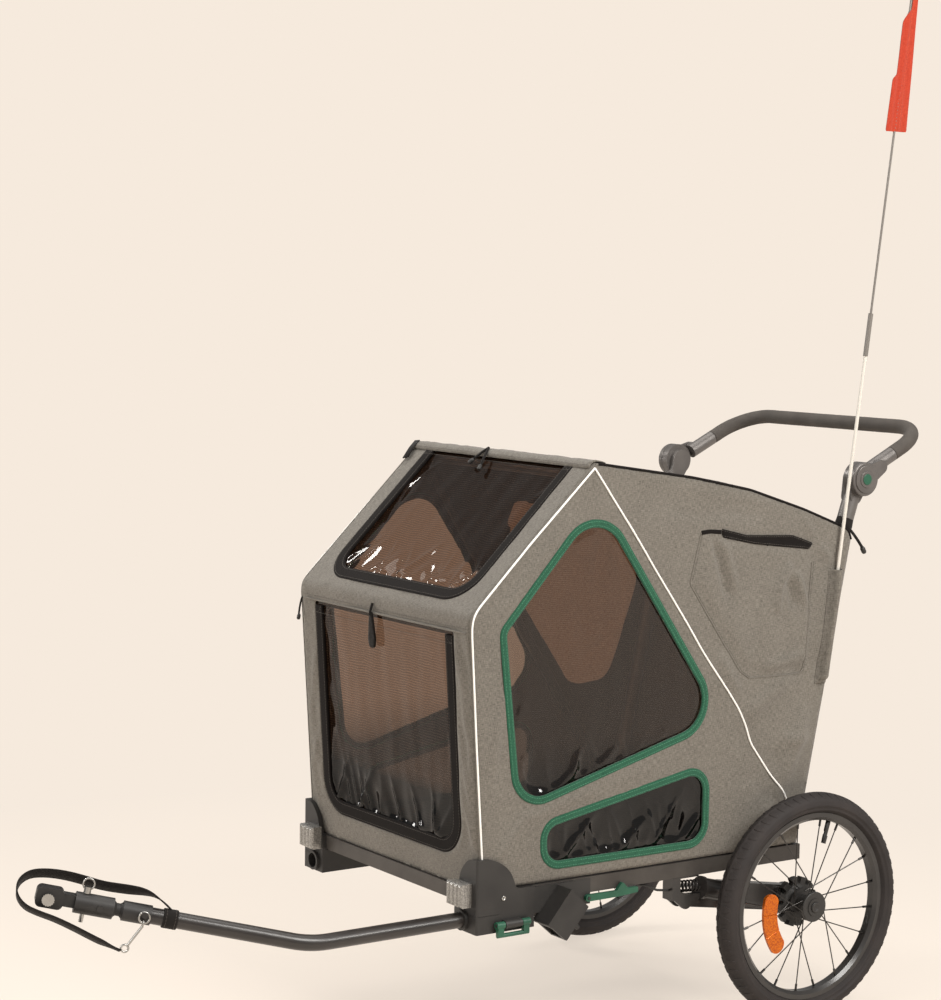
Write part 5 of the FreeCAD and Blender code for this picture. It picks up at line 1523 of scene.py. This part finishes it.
def ribbon(width: float, thickness: float) -> list[Point2]:
    """Section of a flat webbing with rounded edges."""
    w, t = 0.5 * width, 0.5 * thickness
    return [(-w, 0.0), (0.6 - w, -t), (w - 0.6, -t), (w, 0.0), (w - 0.6, t), (0.6 - w, t)]


def bead(name: str, place: Vector, radius: float, axis: Vector) -> Piece:
    """Knot or cord bead: a barrel with a waist at each end."""
    shape = ((0.4, -1.5), (0.75, -1.3), (1.0, -0.5), (0.9, 0.0), (1.0, 0.5), (0.75, 1.3), (0.4, 1.5))
    return turned(name, [(radius * out, radius * along) for out, along in shape], place, axis, segments=16)


@dataclass
class Trim:
    """Zips, welts, pulls, the pocket's slit and the flag's sleeve on the cabin."""

    cabin: Cabin
    slit: Points = ((-174.7, 844.2), (-119.9, 831.2), (-17.2, 826.6), (29.0, 811.3), (18.4, 801.9),
                    (-102.5, 815.8), (-174.3, 830.5))
    pocket_seam: Points = ((-219.0, 840.0), (-240.0, 756.0), (-128.0, 602.0), (-108.0, 589.0), (8.0, 588.0),
                           (12.0, 594.0), (28.0, 778.0))
    lining: Outline = Outline(((-215.0, 836.0), (-246.0, 705.0), (-104.0, 502.0), (-20.0, 510.0), (46.0, 690.0),
                               (26.0, 806.0)), (8.0, 40.0, 44.0, 44.0, 60.0, 8.0))
    zip_end: Points = ((-218.5, 839.5), (-200.0, 841.0), (-176.0, 839.0))
    sleeve_foot: Point2 = (55.4, 575.0)
    sleeve_top: float = 764.0
    rod_lean: float = 0.1354
    roll_front: float = 15.0
    roll_back: float = 24.0
    roll_edge: float = 7.0
    lining_depth: float = 3.2
    hem_half: float = 250.0
    pull_x: float = -23.5
    pull_lift: float = 6.2
    pull_thickness: float = 3.2
    sleeve_reach: float = 14.0
    sleeve_seam: float = 11.5
    sleeve_half: float = 9.0
    sleeve_height: float = 16.0

    def edges(self) -> None:
        """Sew grey welts along the front edges and black zips along the roof edges."""
        cabin = self.cabin
        ring = cabin.side.points(-cabin.inset, 7.0)
        apex = int(np.argmax(ring[:, 1]))
        rear = int(np.argmax(ring[:, 0]))
        foot = int(np.argmin(np.sum((ring - cabin.front_foot) ** 2, axis=1)))
        first, last = sorted((apex, rear))
        roof = ring[first:last + 1]
        start, end = sorted((apex, foot))
        front = ring[start:end + 1]
        pieces = []
        for side in Side:
            for line, radius, stuff in ((roof, 2.4, Stuff.black), (front, 1.5, Stuff.grey)):
                x = side.value * (cabin.half - cabin.inset)
                cord = tube("edge", [at(x, y, z) for y, z in spaced(line, 14.0, closed=False)], radius)
                pieces.append(paint(cord, stuff))
        cabin.flattens(merged("edge_welts", pieces))

    def pocket(self, side: Side) -> None:
        """Make one side's pocket: the slit's black band, its zip end and the seam round it.

        Args:
            side: Left or right.
        """
        def lifted(y: float, z: float, height: float) -> Vector:
            return self.cabin.on_side(side, y, z, height)

        outline = spaced(np.array(self.slit), 5.0)
        band = Sheet(outline, [], 5.0).hung("slit", lambda y, z: lifted(y, z, 1.9), (side.value, 0.0, 0.0))
        pieces = [thickened(paint(band, Stuff.black, Stuff.black), 2.4)]
        end = spaced(np.array(self.zip_end), 4.0, closed=False)
        tape = band_along("zip_end", end, ribbon(7.0, 2.2), lifted, closed=False)
        pieces.append(paint(tape, Stuff.black))
        seam = spaced(np.array(self.pocket_seam), 6.0, closed=False)
        pieces.append(paint(tube("seam", [lifted(y, z, 0.3) for y, z in seam], 1.1), Stuff.grey))
        pieces.append(stitched("seam_row", [lifted(y + 4.0, z, 0.25) for y, z in seam], Stuff.thread_dark))
        rows = [[lifted(y, z, 1.95) for y, z in spaced(line, 4.0, closed=False)]
                for line in (np.array(self.slit[:4]) - (0.0, 2.4), np.array(self.slit[4:]) + (0.0, 2.4))]
        pieces += [stitched("slit_row", row, Stuff.thread_dark) for row in rows]
        self.cabin.flattens(merged(side.word + "_pocket_trim", pieces))

    def pocket_lining(self, side: Side) -> None:
        """Hang the pocket's brown mesh lining inside one side."""
        depth = -self.lining_depth
        sheet = Sheet(self.lining.points(0.0, 8.0), [], 9.0)
        lining = sheet.hung(side.word + "_pocket_lining", lambda y, z: self.cabin.on_side(side, y, z, depth),
                            (-side.value, 0.0, 0.0))
        self.cabin.flattens(thickened(paint(lining, Stuff.mesh, Stuff.mesh), 0.8))

    def apex_roll(self) -> None:
        """Roll the roof's front edge over the top of the slanted window."""
        cabin = self.cabin
        ridge = cabin.over.nearest(*cabin.apex)
        half = cabin.half - 3.0
        front, back = ridge - self.roll_front, ridge + self.roll_back
        box = rectangle(-half, front, half, back, 3.0)

        def place(x: float, s: float) -> Vector:
            edge = ease((s - front) / self.roll_edge) * ease((back - s) / self.roll_edge)
            height = 1.9 + edge * (2.4 + 1.6 * crumple(x, s, 46.0, 3.0) + 0.8 * crumple(2.0 * x, s, 20.0, 5.0))
            return cabin.strip_point(cabin.over, x, s, height)

        roll = Sheet(box.points(0.0, 5.0), [], 6.0).hung("apex_roll", place, (0.0, -0.3, 1.0))
        roll = thickened(paint(roll, Stuff.grey, Stuff.grey), 1.6)
        row = [place(x, ridge - 10.0) for x in np.linspace(-half + 4.0, half - 4.0, 90)]
        cabin.flattens(merged("apex_roll", [roll, stitched("roll_row", row, Stuff.thread_dark)]))

    def flap_edge(self) -> None:
        """Hem the cloth above the door, with a row of stitches and the door's pull."""
        cabin = self.cabin
        top = cabin.front.nearest(*cabin.front_place(cabin.door_top + 2.0))
        hem = [cabin.on_front(x, top, 0.3 + 0.9 * crumple(x, 0.0, 60.0, 2.0))
               for x in np.linspace(-self.hem_half, self.hem_half, 40)]
        pieces = [paint(tube("hem", hem, 1.9), Stuff.grey)]
        reach = self.hem_half - 2.0
        row = [cabin.on_front(x, top + 7.0, 0.5) for x in np.linspace(-reach, reach, 120)]
        pieces.append(stitched("hem_row", row, Stuff.thread_dark))
        cabin.flattens(merged("door_flap_hem", pieces))
        drop = Outline(((-20.0, top + 2.0), (-27.0, top + 2.0), (-34.0, top - 44.0), (-31.0, top - 58.0),
                        (-17.0, top - 58.0), (-13.0, top - 44.0)), (3.0, 3.0, 8.0, 6.0, 6.0, 8.0))

        def place(x: float, s: float) -> Vector:
            return cabin.on_front(x, s, self.pull_lift)

        tab = Sheet(drop.points(0.0, 2.5), [], 4.0).hung("door_pull", place, (0.0, -1.0, 0.0))
        tab = thickened(paint(tab, Stuff.webbing, Stuff.webbing), self.pull_thickness)
        heights = ((16.0, 1.0), (8.0, 4.0), (1.0, 7.0), (-3.0, 6.0))
        loop = [cabin.on_front(self.pull_x, top + up, lift) for up, lift in heights]
        cabin.flattens(paint(tube("door_pull_loop", loop, 2.2), Stuff.webbing))
        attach(tab, "front_door")

    def pulls(self) -> None:
        """Add the elastic toggle on the slanted window, the corner straps and the cord pulls."""
        lines = [
            (((-36.0, -441.0, 967.0), (-42.0, -452.0, 959.0), (-50.0, -466.0, 945.0)), 2.2),
            (((-36.0, -441.0, 967.0), (-27.0, -455.0, 956.0), (-13.0, -474.0, 937.0)), 2.2),
            (((-256.0, -675.0, 702.0), (-257.0, -680.0, 688.0), (-256.0, -682.0, 669.0)), 1.7),
            (((255.0, 110.0, 838.0), (259.0, 128.0, 822.0), (260.0, 147.0, 796.0)), 2.6),
        ]
        pieces = [paint(tube("pull", [at(*p) for p in points], radius), Stuff.webbing)
                  for points, radius in lines]
        for place, radius, axis in (((-50.0, -467.0, 944.0), 4.0, (-0.3, -0.6, -0.6)),
                                    ((-13.0, -475.0, 936.0), 4.0, (0.4, -0.6, -0.6)),
                                    ((-256.0, -682.0, 667.0), 3.4, (0.0, -0.2, -1.0)),
                                    ((260.0, 148.5, 793.0), 4.6, (0.0, 0.5, -0.8))):
            pieces.append(paint(bead("knot", at(*place), radius, Vector(axis)), Stuff.plastic))
        route = ((-259.0, -441.0, 966.0), (-256.0, -455.0, 954.0), (-248.0, -473.0, 937.0))
        line = [at(*p) for p in route]
        strap = swept("corner_strap", line, lambda _: ribbon(14.0, 1.8), Vector((1.0, 0.0, 0.0)))
        pieces.append(paint(strap, Stuff.webbing))
        self.cabin.flattens(merged("cabin_pulls", pieces))

    def flag_sleeve(self) -> None:
        """Sew the sleeve that holds the flag's rod on the left side."""
        foot_y, foot_z = self.sleeve_foot
        outline = rectangle(-self.sleeve_reach, foot_z - 8.0, self.sleeve_reach, self.sleeve_top, 1.0)

        def place(t: float, z: float) -> Vector:
            y = foot_y + self.rod_lean * (z - foot_z) + t
            share = min(1.0, abs(t) / self.sleeve_half)
            height = self.sleeve_height * math.sqrt(1.0 - share * share) * ease((z - foot_z + 10.0) / 16.0)
            base = self.cabin.on_side(Side.LEFT, y, z, 1.3)
            return base + Vector(((height + 0.5 * crumple(t, z, 30.0, 4.0)) * MM, 0.0, 0.0))

        sleeve = Sheet(outline.points(0.0, 3.0), [], 3.0).hung("flag_sleeve", place, (1.0, 0.0, 0.0))
        sleeve = thickened(paint(sleeve, Stuff.grey, Stuff.lining), 1.1)
        rows = [stitched("sleeve_row", [place(t, z) for z in np.linspace(foot_z, self.sleeve_top, 60)],
                         Stuff.thread_dark) for t in (-self.sleeve_seam, self.sleeve_seam)]
        self.cabin.flattens(merged("flag_sleeve", [sleeve, *rows]))

    def build(self) -> None:
        """Sew on every trimming."""
        self.edges()
        for side in Side:
            self.pocket(side)
            self.pocket_lining(side)
        self.apex_roll()
        self.flap_edge()
        self.pulls()
        self.flag_sleeve()


# Wheels
@dataclass
class Wheel:
    """One wheel's tyre with its tread, and the valve on its rim."""

    side: Side
    middle: float = 304.0
    axle_height: float = 195.0
    blocks: int = 64
    block_height: float = 1.1
    block_half: float = 6.2
    half_section: Points = (
        (155.4, 7.7), (160.8, 9.6), (162.4, 12.6), (165.2, 15.9), (166.2, 17.5), (167.6, 18.0), (168.6, 17.7),
        (172.6, 19.6), (173.6, 20.7), (175.2, 20.9), (176.4, 20.4), (180.6, 20.2), (184.6, 18.4), (188.6, 14.8),
        (191.4, 9.8), (193.0, 4.2), (194.4, 3.0))

    def centre(self) -> Vector:
        """The wheel's centre in the frame."""
        return at(self.side.value * self.middle, 0.0, self.axle_height)

    def crown(self, across: float) -> float:
        """Radius of the tyre's surface at a distance from its middle plane."""
        reaches, radii = zip(*[(x, r) for r, x in reversed(self.half_section[12:])])
        return float(np.interp(across, reaches, radii))

    def block(self, sign: float) -> Piece:
        """One scalloped tread block on the tyre's shoulder, at the top of the wheel.

        Args:
            sign: Which shoulder.

        Returns:
            The block.
        """
        stations = ((4.4, 0.9), (8.0, 1.0), (11.6, 0.86), (14.8, 0.62), (17.2, 0.22))
        centre = self.centre()
        verts, faces = [], []
        for across, share in stations:
            for half, lift in ((self.block_half, -1.2), (self.block_half - 0.6, self.block_height)):
                for way in (-1.0, 1.0):
                    radius = self.crown(across) + lift * (0.6 + 0.4 * share)
                    angle = way * half * share / radius
                    out = Vector((sign * across, math.sin(angle) * radius, math.cos(angle) * radius))
                    verts.append(centre + out * MM)
        for i in range(len(stations) - 1):
            a, b = 4 * i, 4 * i + 4
            faces += [(a, a + 1, b + 1, b), (a + 2, b + 2, b + 3, a + 3), (a, b, b + 2, a + 2),
                      (a + 1, a + 3, b + 3, b + 1)]
        faces += [(0, 2, 3, 1), (16, 17, 19, 18)]
        return outwards(from_faces("block", verts, faces, smooth=False))

    def tyre(self) -> None:
        """Make the tyre's carcass with its sidewall beads, and grow the tread round it."""
        section = [(r, -x) for r, x in self.half_section] + [(r, x) for r, x in reversed(self.half_section)]
        carcass = turned("carcass", section, self.centre(), Vector((1.0, 0.0, 0.0)), segments=128)
        paint(carcass, Stuff.rubber)
        values = {"Count": self.blocks, "Centre": self.centre(), "Material": Stuff.rubber.material()}
        rows = [Growths.round_axle.grow(self.block(sign), values) for sign in (-1.0, 1.0)]
        tyre = merged(self.side.word + "_tyre_tread", [carcass, *rows])
        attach(tyre, self.side.word + "_wheel")
        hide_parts(self.side.word + "_tyre")
        LOG.info("tyre %s", tyre.name)

    def valve(self) -> None:
        """Make the inner tube's valve, which stands in from the rim."""
        angle = math.radians(17.0)
        out = Vector((0.0, math.sin(angle), math.cos(angle)))
        profile = [(0.8, 112.0), (2.6, 112.6), (3.0, 116.0), (3.0, 123.0), (2.3, 124.0), (2.3, 128.0),
                   (3.4, 130.0), (3.6, 147.2), (0.8, 147.2)]
        stem = turned("valve", profile, self.centre(), out, segments=20)
        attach(paint(stem, Stuff.soft_rubber), self.side.word + "_wheel")
        stem.name = self.side.word + "_valve"

    def build(self) -> None:
        """Make the tyre and the valve."""
        self.tyre()
        self.valve()


# Drawbar
@dataclass
class Drawbar:
    """The safety strap of flat webbing, from its sewn band round the hitch to the snap hook."""

    bend: Point3 = (230.0, -938.0, 243.0)
    aim: Point3 = (82.0, -1296.0, 330.0)
    width: float = 22.0
    end_width: float = 9.0
    thickness: float = 2.2
    roll: float = 43.0
    band: tuple[float, float] = (206.0, 228.0)
    tube_radius: float = 12.5
    route: tuple[Point3, ...] = (
        (218.0, 0.0, 14.0), (232.0, -3.0, 24.0), (256.0, -9.0, 32.0), (290.0, -18.0, 28.0),
        (324.0, -25.0, 25.0), (358.0, -26.0, 29.0), (386.0, -24.0, 31.0), (412.0, -20.0, 30.0),
        (434.0, -15.6, 25.2), (448.0, -4.1, 12.7), (448.0, 10.1, -2.7), (434.0, 21.6, -15.2),
        (412.0, 26.0, -20.0), (386.0, 27.0, -24.0), (354.0, 26.0, -33.0), (324.0, 24.0, -43.0),
        (300.0, 22.0, -50.0), (281.0, 20.0, -55.0))

    def __post_init__(self) -> None:
        """Lay out the front run's own axes."""
        self.start = at(*self.bend)
        self.forward = (at(*self.aim) - self.start).normalized()
        self.sideways = Vector((0.0, 0.0, 1.0)).cross(self.forward).normalized()
        self.upward = self.forward.cross(self.sideways)

    def point(self, along: float, side: float, up: float) -> Vector:
        """Point by its distances along, beside and above the front run."""
        return self.start + (self.forward * along + self.sideways * side + self.upward * up) * MM

    def strap_line(self) -> list[Vector]:
        """Points of the smooth line that the route's points control."""
        obj = nurbs("strap_route", [self.point(*place) for place in self.route], 8)
        mesh = bpy.data.meshes.new_from_object(obj.evaluated_get(bpy.context.evaluated_depsgraph_get()))
        line = [v.co.copy() for v in mesh.vertices]
        bpy.data.objects.remove(obj)
        bpy.data.meshes.remove(mesh)
        return line

    def build(self) -> None:
        """Make the strap and its sewn band."""
        line = self.strap_line()
        length = sum((b - a).length for a, b in zip(line, line[1:]))

        def section(i: int) -> list[Point2]:
            share = i / (len(line) - 1)
            angle = math.radians(self.roll) * ease(share / 0.16)
            narrow = max(ease((share - 0.93) / 0.06), 1.0 - ease(share / 0.1))
            flat = ribbon(self.width + narrow * (self.end_width - self.width), self.thickness)
            return [(w * math.cos(angle) - t * math.sin(angle), w * math.sin(angle) + t * math.cos(angle))
                    for w, t in flat]

        strap = swept("safety_webbing", line, section, self.sideways)
        paint(strap, Stuff.webbing)
        start, end = self.band
        inner, outer = self.tube_radius + 0.35, self.tube_radius + 2.3
        profile = [(inner, start), (outer - 0.5, start), (outer, start + 0.8), (outer, end - 0.8),
                   (outer - 0.5, end), (inner, end)]
        sewn = paint(turned("sewn_band", profile, self.start, self.forward), Stuff.webbing)
        lift = outer + 0.1
        rows = []
        for mark in (start + 4.0, end - 4.0):
            ring = [self.point(mark, lift * math.cos(t), lift * math.sin(t))
                    for t in np.linspace(0.0, math.tau, 40)[:-1]]
            rows.append(stitched("band_row", ring, Stuff.thread_dark, closed=True))
        band = merged("strap_band", [sewn, *rows])
        for piece in (strap, band):
            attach(piece, "drawbar")
        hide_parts("safety_strap")
        tuple(line[0])
        [tuple(p) for p in line]
        LOG.info("strap %.3f m", length)


# Handle and flag
@dataclass
class Grip:
    """The foam sleeve round the push handle's U."""

    pivot: Point2 = (142.0, 917.0)
    bar: Point2 = (310.0, 1000.0)
    tube_x: float = 244.5
    start: float = 92.0
    bend: float = 72.0
    radius: float = 12.75
    inner: float = 11.6

    def line(self) -> list[Vector]:
        """Points along the middle of the grip, from its left end to its right."""
        reach = Vector(self.bar) - Vector(self.pivot)
        corner_at = reach.length - self.bend
        flat: list[Point2] = [(self.tube_x, self.start + 0.5 * k) for k in range(5)]
        flat += [(self.tube_x, a) for a in np.linspace(self.start + 6.0, corner_at, 6)]
        for angle in np.linspace(0.0, math.pi / 2.0, 26)[1:]:
            flat.append((self.tube_x - self.bend * (1.0 - math.cos(angle)),
                         corner_at + self.bend * math.sin(angle)))
        flat += [(x, reach.length) for x in np.linspace(self.tube_x - self.bend, 0.0, 40)[1:]]
        flat += [(-x, a) for x, a in reversed(flat[:-1])]
        way = reach.normalized()
        return [at(x, self.pivot[0] + way.x * a, self.pivot[1] + way.y * a) for x, a in flat]

    def build(self) -> None:
        """Make the foam, with a soft uneven skin and rounded ends."""
        line = self.line()
        ends = (0.0, 0.55, 0.85, 1.0)

        def section(i: int) -> list[Point2]:
            end = min(i, len(line) - 1 - i)
            share = ends[end] if end < len(ends) else 1.0
            ring = []
            for k in range(28):
                angle = math.tau * k / 28
                rough = 0.22 * crumple(i * 9.0, k * 3.0, 14.0, 5.0)
                radius = self.inner + (self.radius + 0.15 - self.inner) * share
                radius += rough if share == 1.0 else 0.0
                ring.append((radius * math.cos(angle), radius * math.sin(angle)))
            return ring

        grip = paint(swept("foam_sleeve", line, section, Vector((1.0, 0.0, 0.0))), Stuff.foam)
        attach(grip, "push_handle")
        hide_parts("handle_grip")
        LOG.info("grip %s", grip.name)


@dataclass
class Pennant:
    """The orange pennant, which hangs folded along the top of the flag's rod."""

    rod_x: float = 270.0
    foot: Point2 = (55.4, 575.0)
    lean: float = 0.1354
    outline: Points = ((-20.0, 1514.0), (-20.0, 1604.0), (-13.0, 1612.0), (-13.0, 1700.0), (2.0, 1726.0),
                       (2.0, 1772.0), (14.0, 1772.0), (28.0, 1514.0))
    rod_gap: float = 2.5

    def rod_y(self, z: float) -> float:
        """Y of the rod's axis at a height."""
        return self.foot[0] + self.lean * (z - self.foot[1])

    def build(self) -> None:
        """Make the two layers of cloth round the rod, with their folds, and the stitched sleeve."""
        edge = Outline(self.outline, (2.0,) * 8).points(-0.4, 4.0)
        layers, rows = [], []
        for sign in (-1.0, 1.0):
            def place(t: float, z: float) -> Vector:
                rim = gap_to(edge, t, z)
                around = self.rod_gap * bell(t, 3.4)
                folds = 1.1 * math.sin(0.36 * t + 0.012 * z) + 0.7 * crumple(2.0 * t, 0.5 * z, 26.0, 7.0)
                apart = max(around, 0.35 + 0.5 * ease(rim / 6.0))
                shift = folds * (1.0 - bell(t, 4.5))
                return at(self.rod_x + shift + sign * apart, self.rod_y(z) + t, z)

            sheet = Sheet(edge, [], 3.5)
            layer = sheet.hung("layer", place)
            layers.append(layer)
            seam = [place(6.4, z) for z in np.linspace(1520.0, 1766.0, 70)]
            rows.append(stitched("sleeve_row", [p + Vector((sign * 0.2 * MM, 0.0, 0.0)) for p in seam],
                                 Stuff.thread_orange))
        cloth = outwards(merged("pennant_cloth", layers))
        paint(cloth, Stuff.orange)
        thread = merged("pennant_thread", rows)
        for piece in (cloth, thread):
            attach(piece, "flag")
        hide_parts("flag_pennant")


@dataclass
class Fittings:
    """Small fittings: the cloth collars on the uprights and the bright screws of the corner brackets."""

    collar_foot: Point2 = (113.3, 832.9)
    upright_x: float = 244.5
    screw_spots: Points = ((-609.0, 279.0), (-548.0, 268.0))
    screw: Points = ((0.2, 0.0), (4.2, 0.0), (4.4, 0.9), (3.6, 2.0), (2.2, 2.3), (1.9, 1.2), (0.2, 1.2))

    def collars(self, way: Vector) -> None:
        """Wrap a short black collar round each upright where it leaves the cloth."""
        rings = []
        for side in Side:
            foot = at(side.value * self.upright_x, *self.collar_foot)
            section = [(12.2, -4.0), (15.0, -4.0), (15.6, 4.0), (14.6, 14.0), (14.2, 22.0), (12.2, 22.6)]
            rings.append(paint(turned("collar", section, foot, way), Stuff.webbing))
        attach(merged("upright_collars", rings), "rear_frame")

    def screws(self) -> None:
        """Set a screw head on each spot of both corner brackets."""
        places = []
        for side in Side:
            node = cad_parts[side.word + "_corner_bracket"]
            for y, z in self.screw_spots:
                inward = Vector((-side.value, 0.0, 0.0))
                found, spot, normal, _ = node.ray_cast(at(side.value * 400.0, y, z), inward)
                if found:
                    places.append((spot, normal))
        head = turned("screw", self.screw, Vector((0.0, 0.0, 0.0)), Vector((0.0, 0.0, 1.0)), segments=20)
        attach(set_on("bracket_screws", head, places, Stuff.steel), "chassis")
        LOG.info("screws %d", len(places))

    def build(self) -> None:
        """Make the collars and the screws."""
        self.collars(Vector((0.0, 28.7, 84.1)))
        self.screws()


# The whole trailer
@dataclass
class Carried:
    """CAD nodes that keep their shape and only get a finish; the springs also get their own mesh."""

    spring_seat: float = -245.0
    spring_keep: float = 0.88

    def build(self) -> None:
        """Paint the rigid nodes."""
        finishes = {
            Stuff.paint: ["front_hoop", "apex_hoop", "drawbar_tube"],
            Stuff.gunmetal: ["rear_frame", "handle_bar"],
            Stuff.rim: ["left_swing_arm", "right_swing_arm", "suspension_brackets", "left_rim", "right_rim"],
            Stuff.rail: ["side_rails", "front_cross_rail", "rear_cross_rail"],
            Stuff.plastic: ["left_corner_bracket", "right_corner_bracket", "floor_panel", "wheel_arm_socket",
                            "left_hub", "right_hub", "left_hub_button", "right_hub_button", "drawbar_ferrule",
                            "hitch_sleeve", "hitch_head"],
            Stuff.clear: ["front_reflectors"],
            Stuff.amber: ["left_wheel_reflector", "right_wheel_reflector"],
            Stuff.green_plastic: ["brake_lever", "drawbar_latch", "left_handle_button", "right_handle_button"],
            Stuff.soft_rubber: ["hitch_neck", "brake_cable"],
            Stuff.dark_steel: ["left_spokes", "right_spokes"],
            Stuff.spring: ["left_spring", "right_spring"],
            Stuff.steel: ["left_axle", "right_axle", "left_brake_pin", "right_brake_pin", "hitch_bolt",
                          "hitch_pin", "snap_hook"],
            Stuff.white_rod: ["flag_rod"],
        }
        for finish, nodes in finishes.items():
            for node in nodes:
                paint(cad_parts[node], finish)
        for side in Side:
            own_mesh(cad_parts[side.word + "_spring"], side.word + "_arm_pivot", axis=(0.0, 1.0, 0.0),
                      anchor=tuple(at(0.0, self.spring_seat, 0.0)), keep=self.spring_keep)


def main() -> None:
    """Build the trailer and its studio."""
    logging.basicConfig(level=logging.INFO, format="%(name)s: %(message)s")
    cabin = Cabin()
    for part in (Studio(), Carried(), cabin, Trim(cabin), Wheel(Side.LEFT), Wheel(Side.RIGHT), Drawbar(),
                 Grip(), Pennant(), Fittings()):
        part.build()


if __name__ == "__main__":
    main()
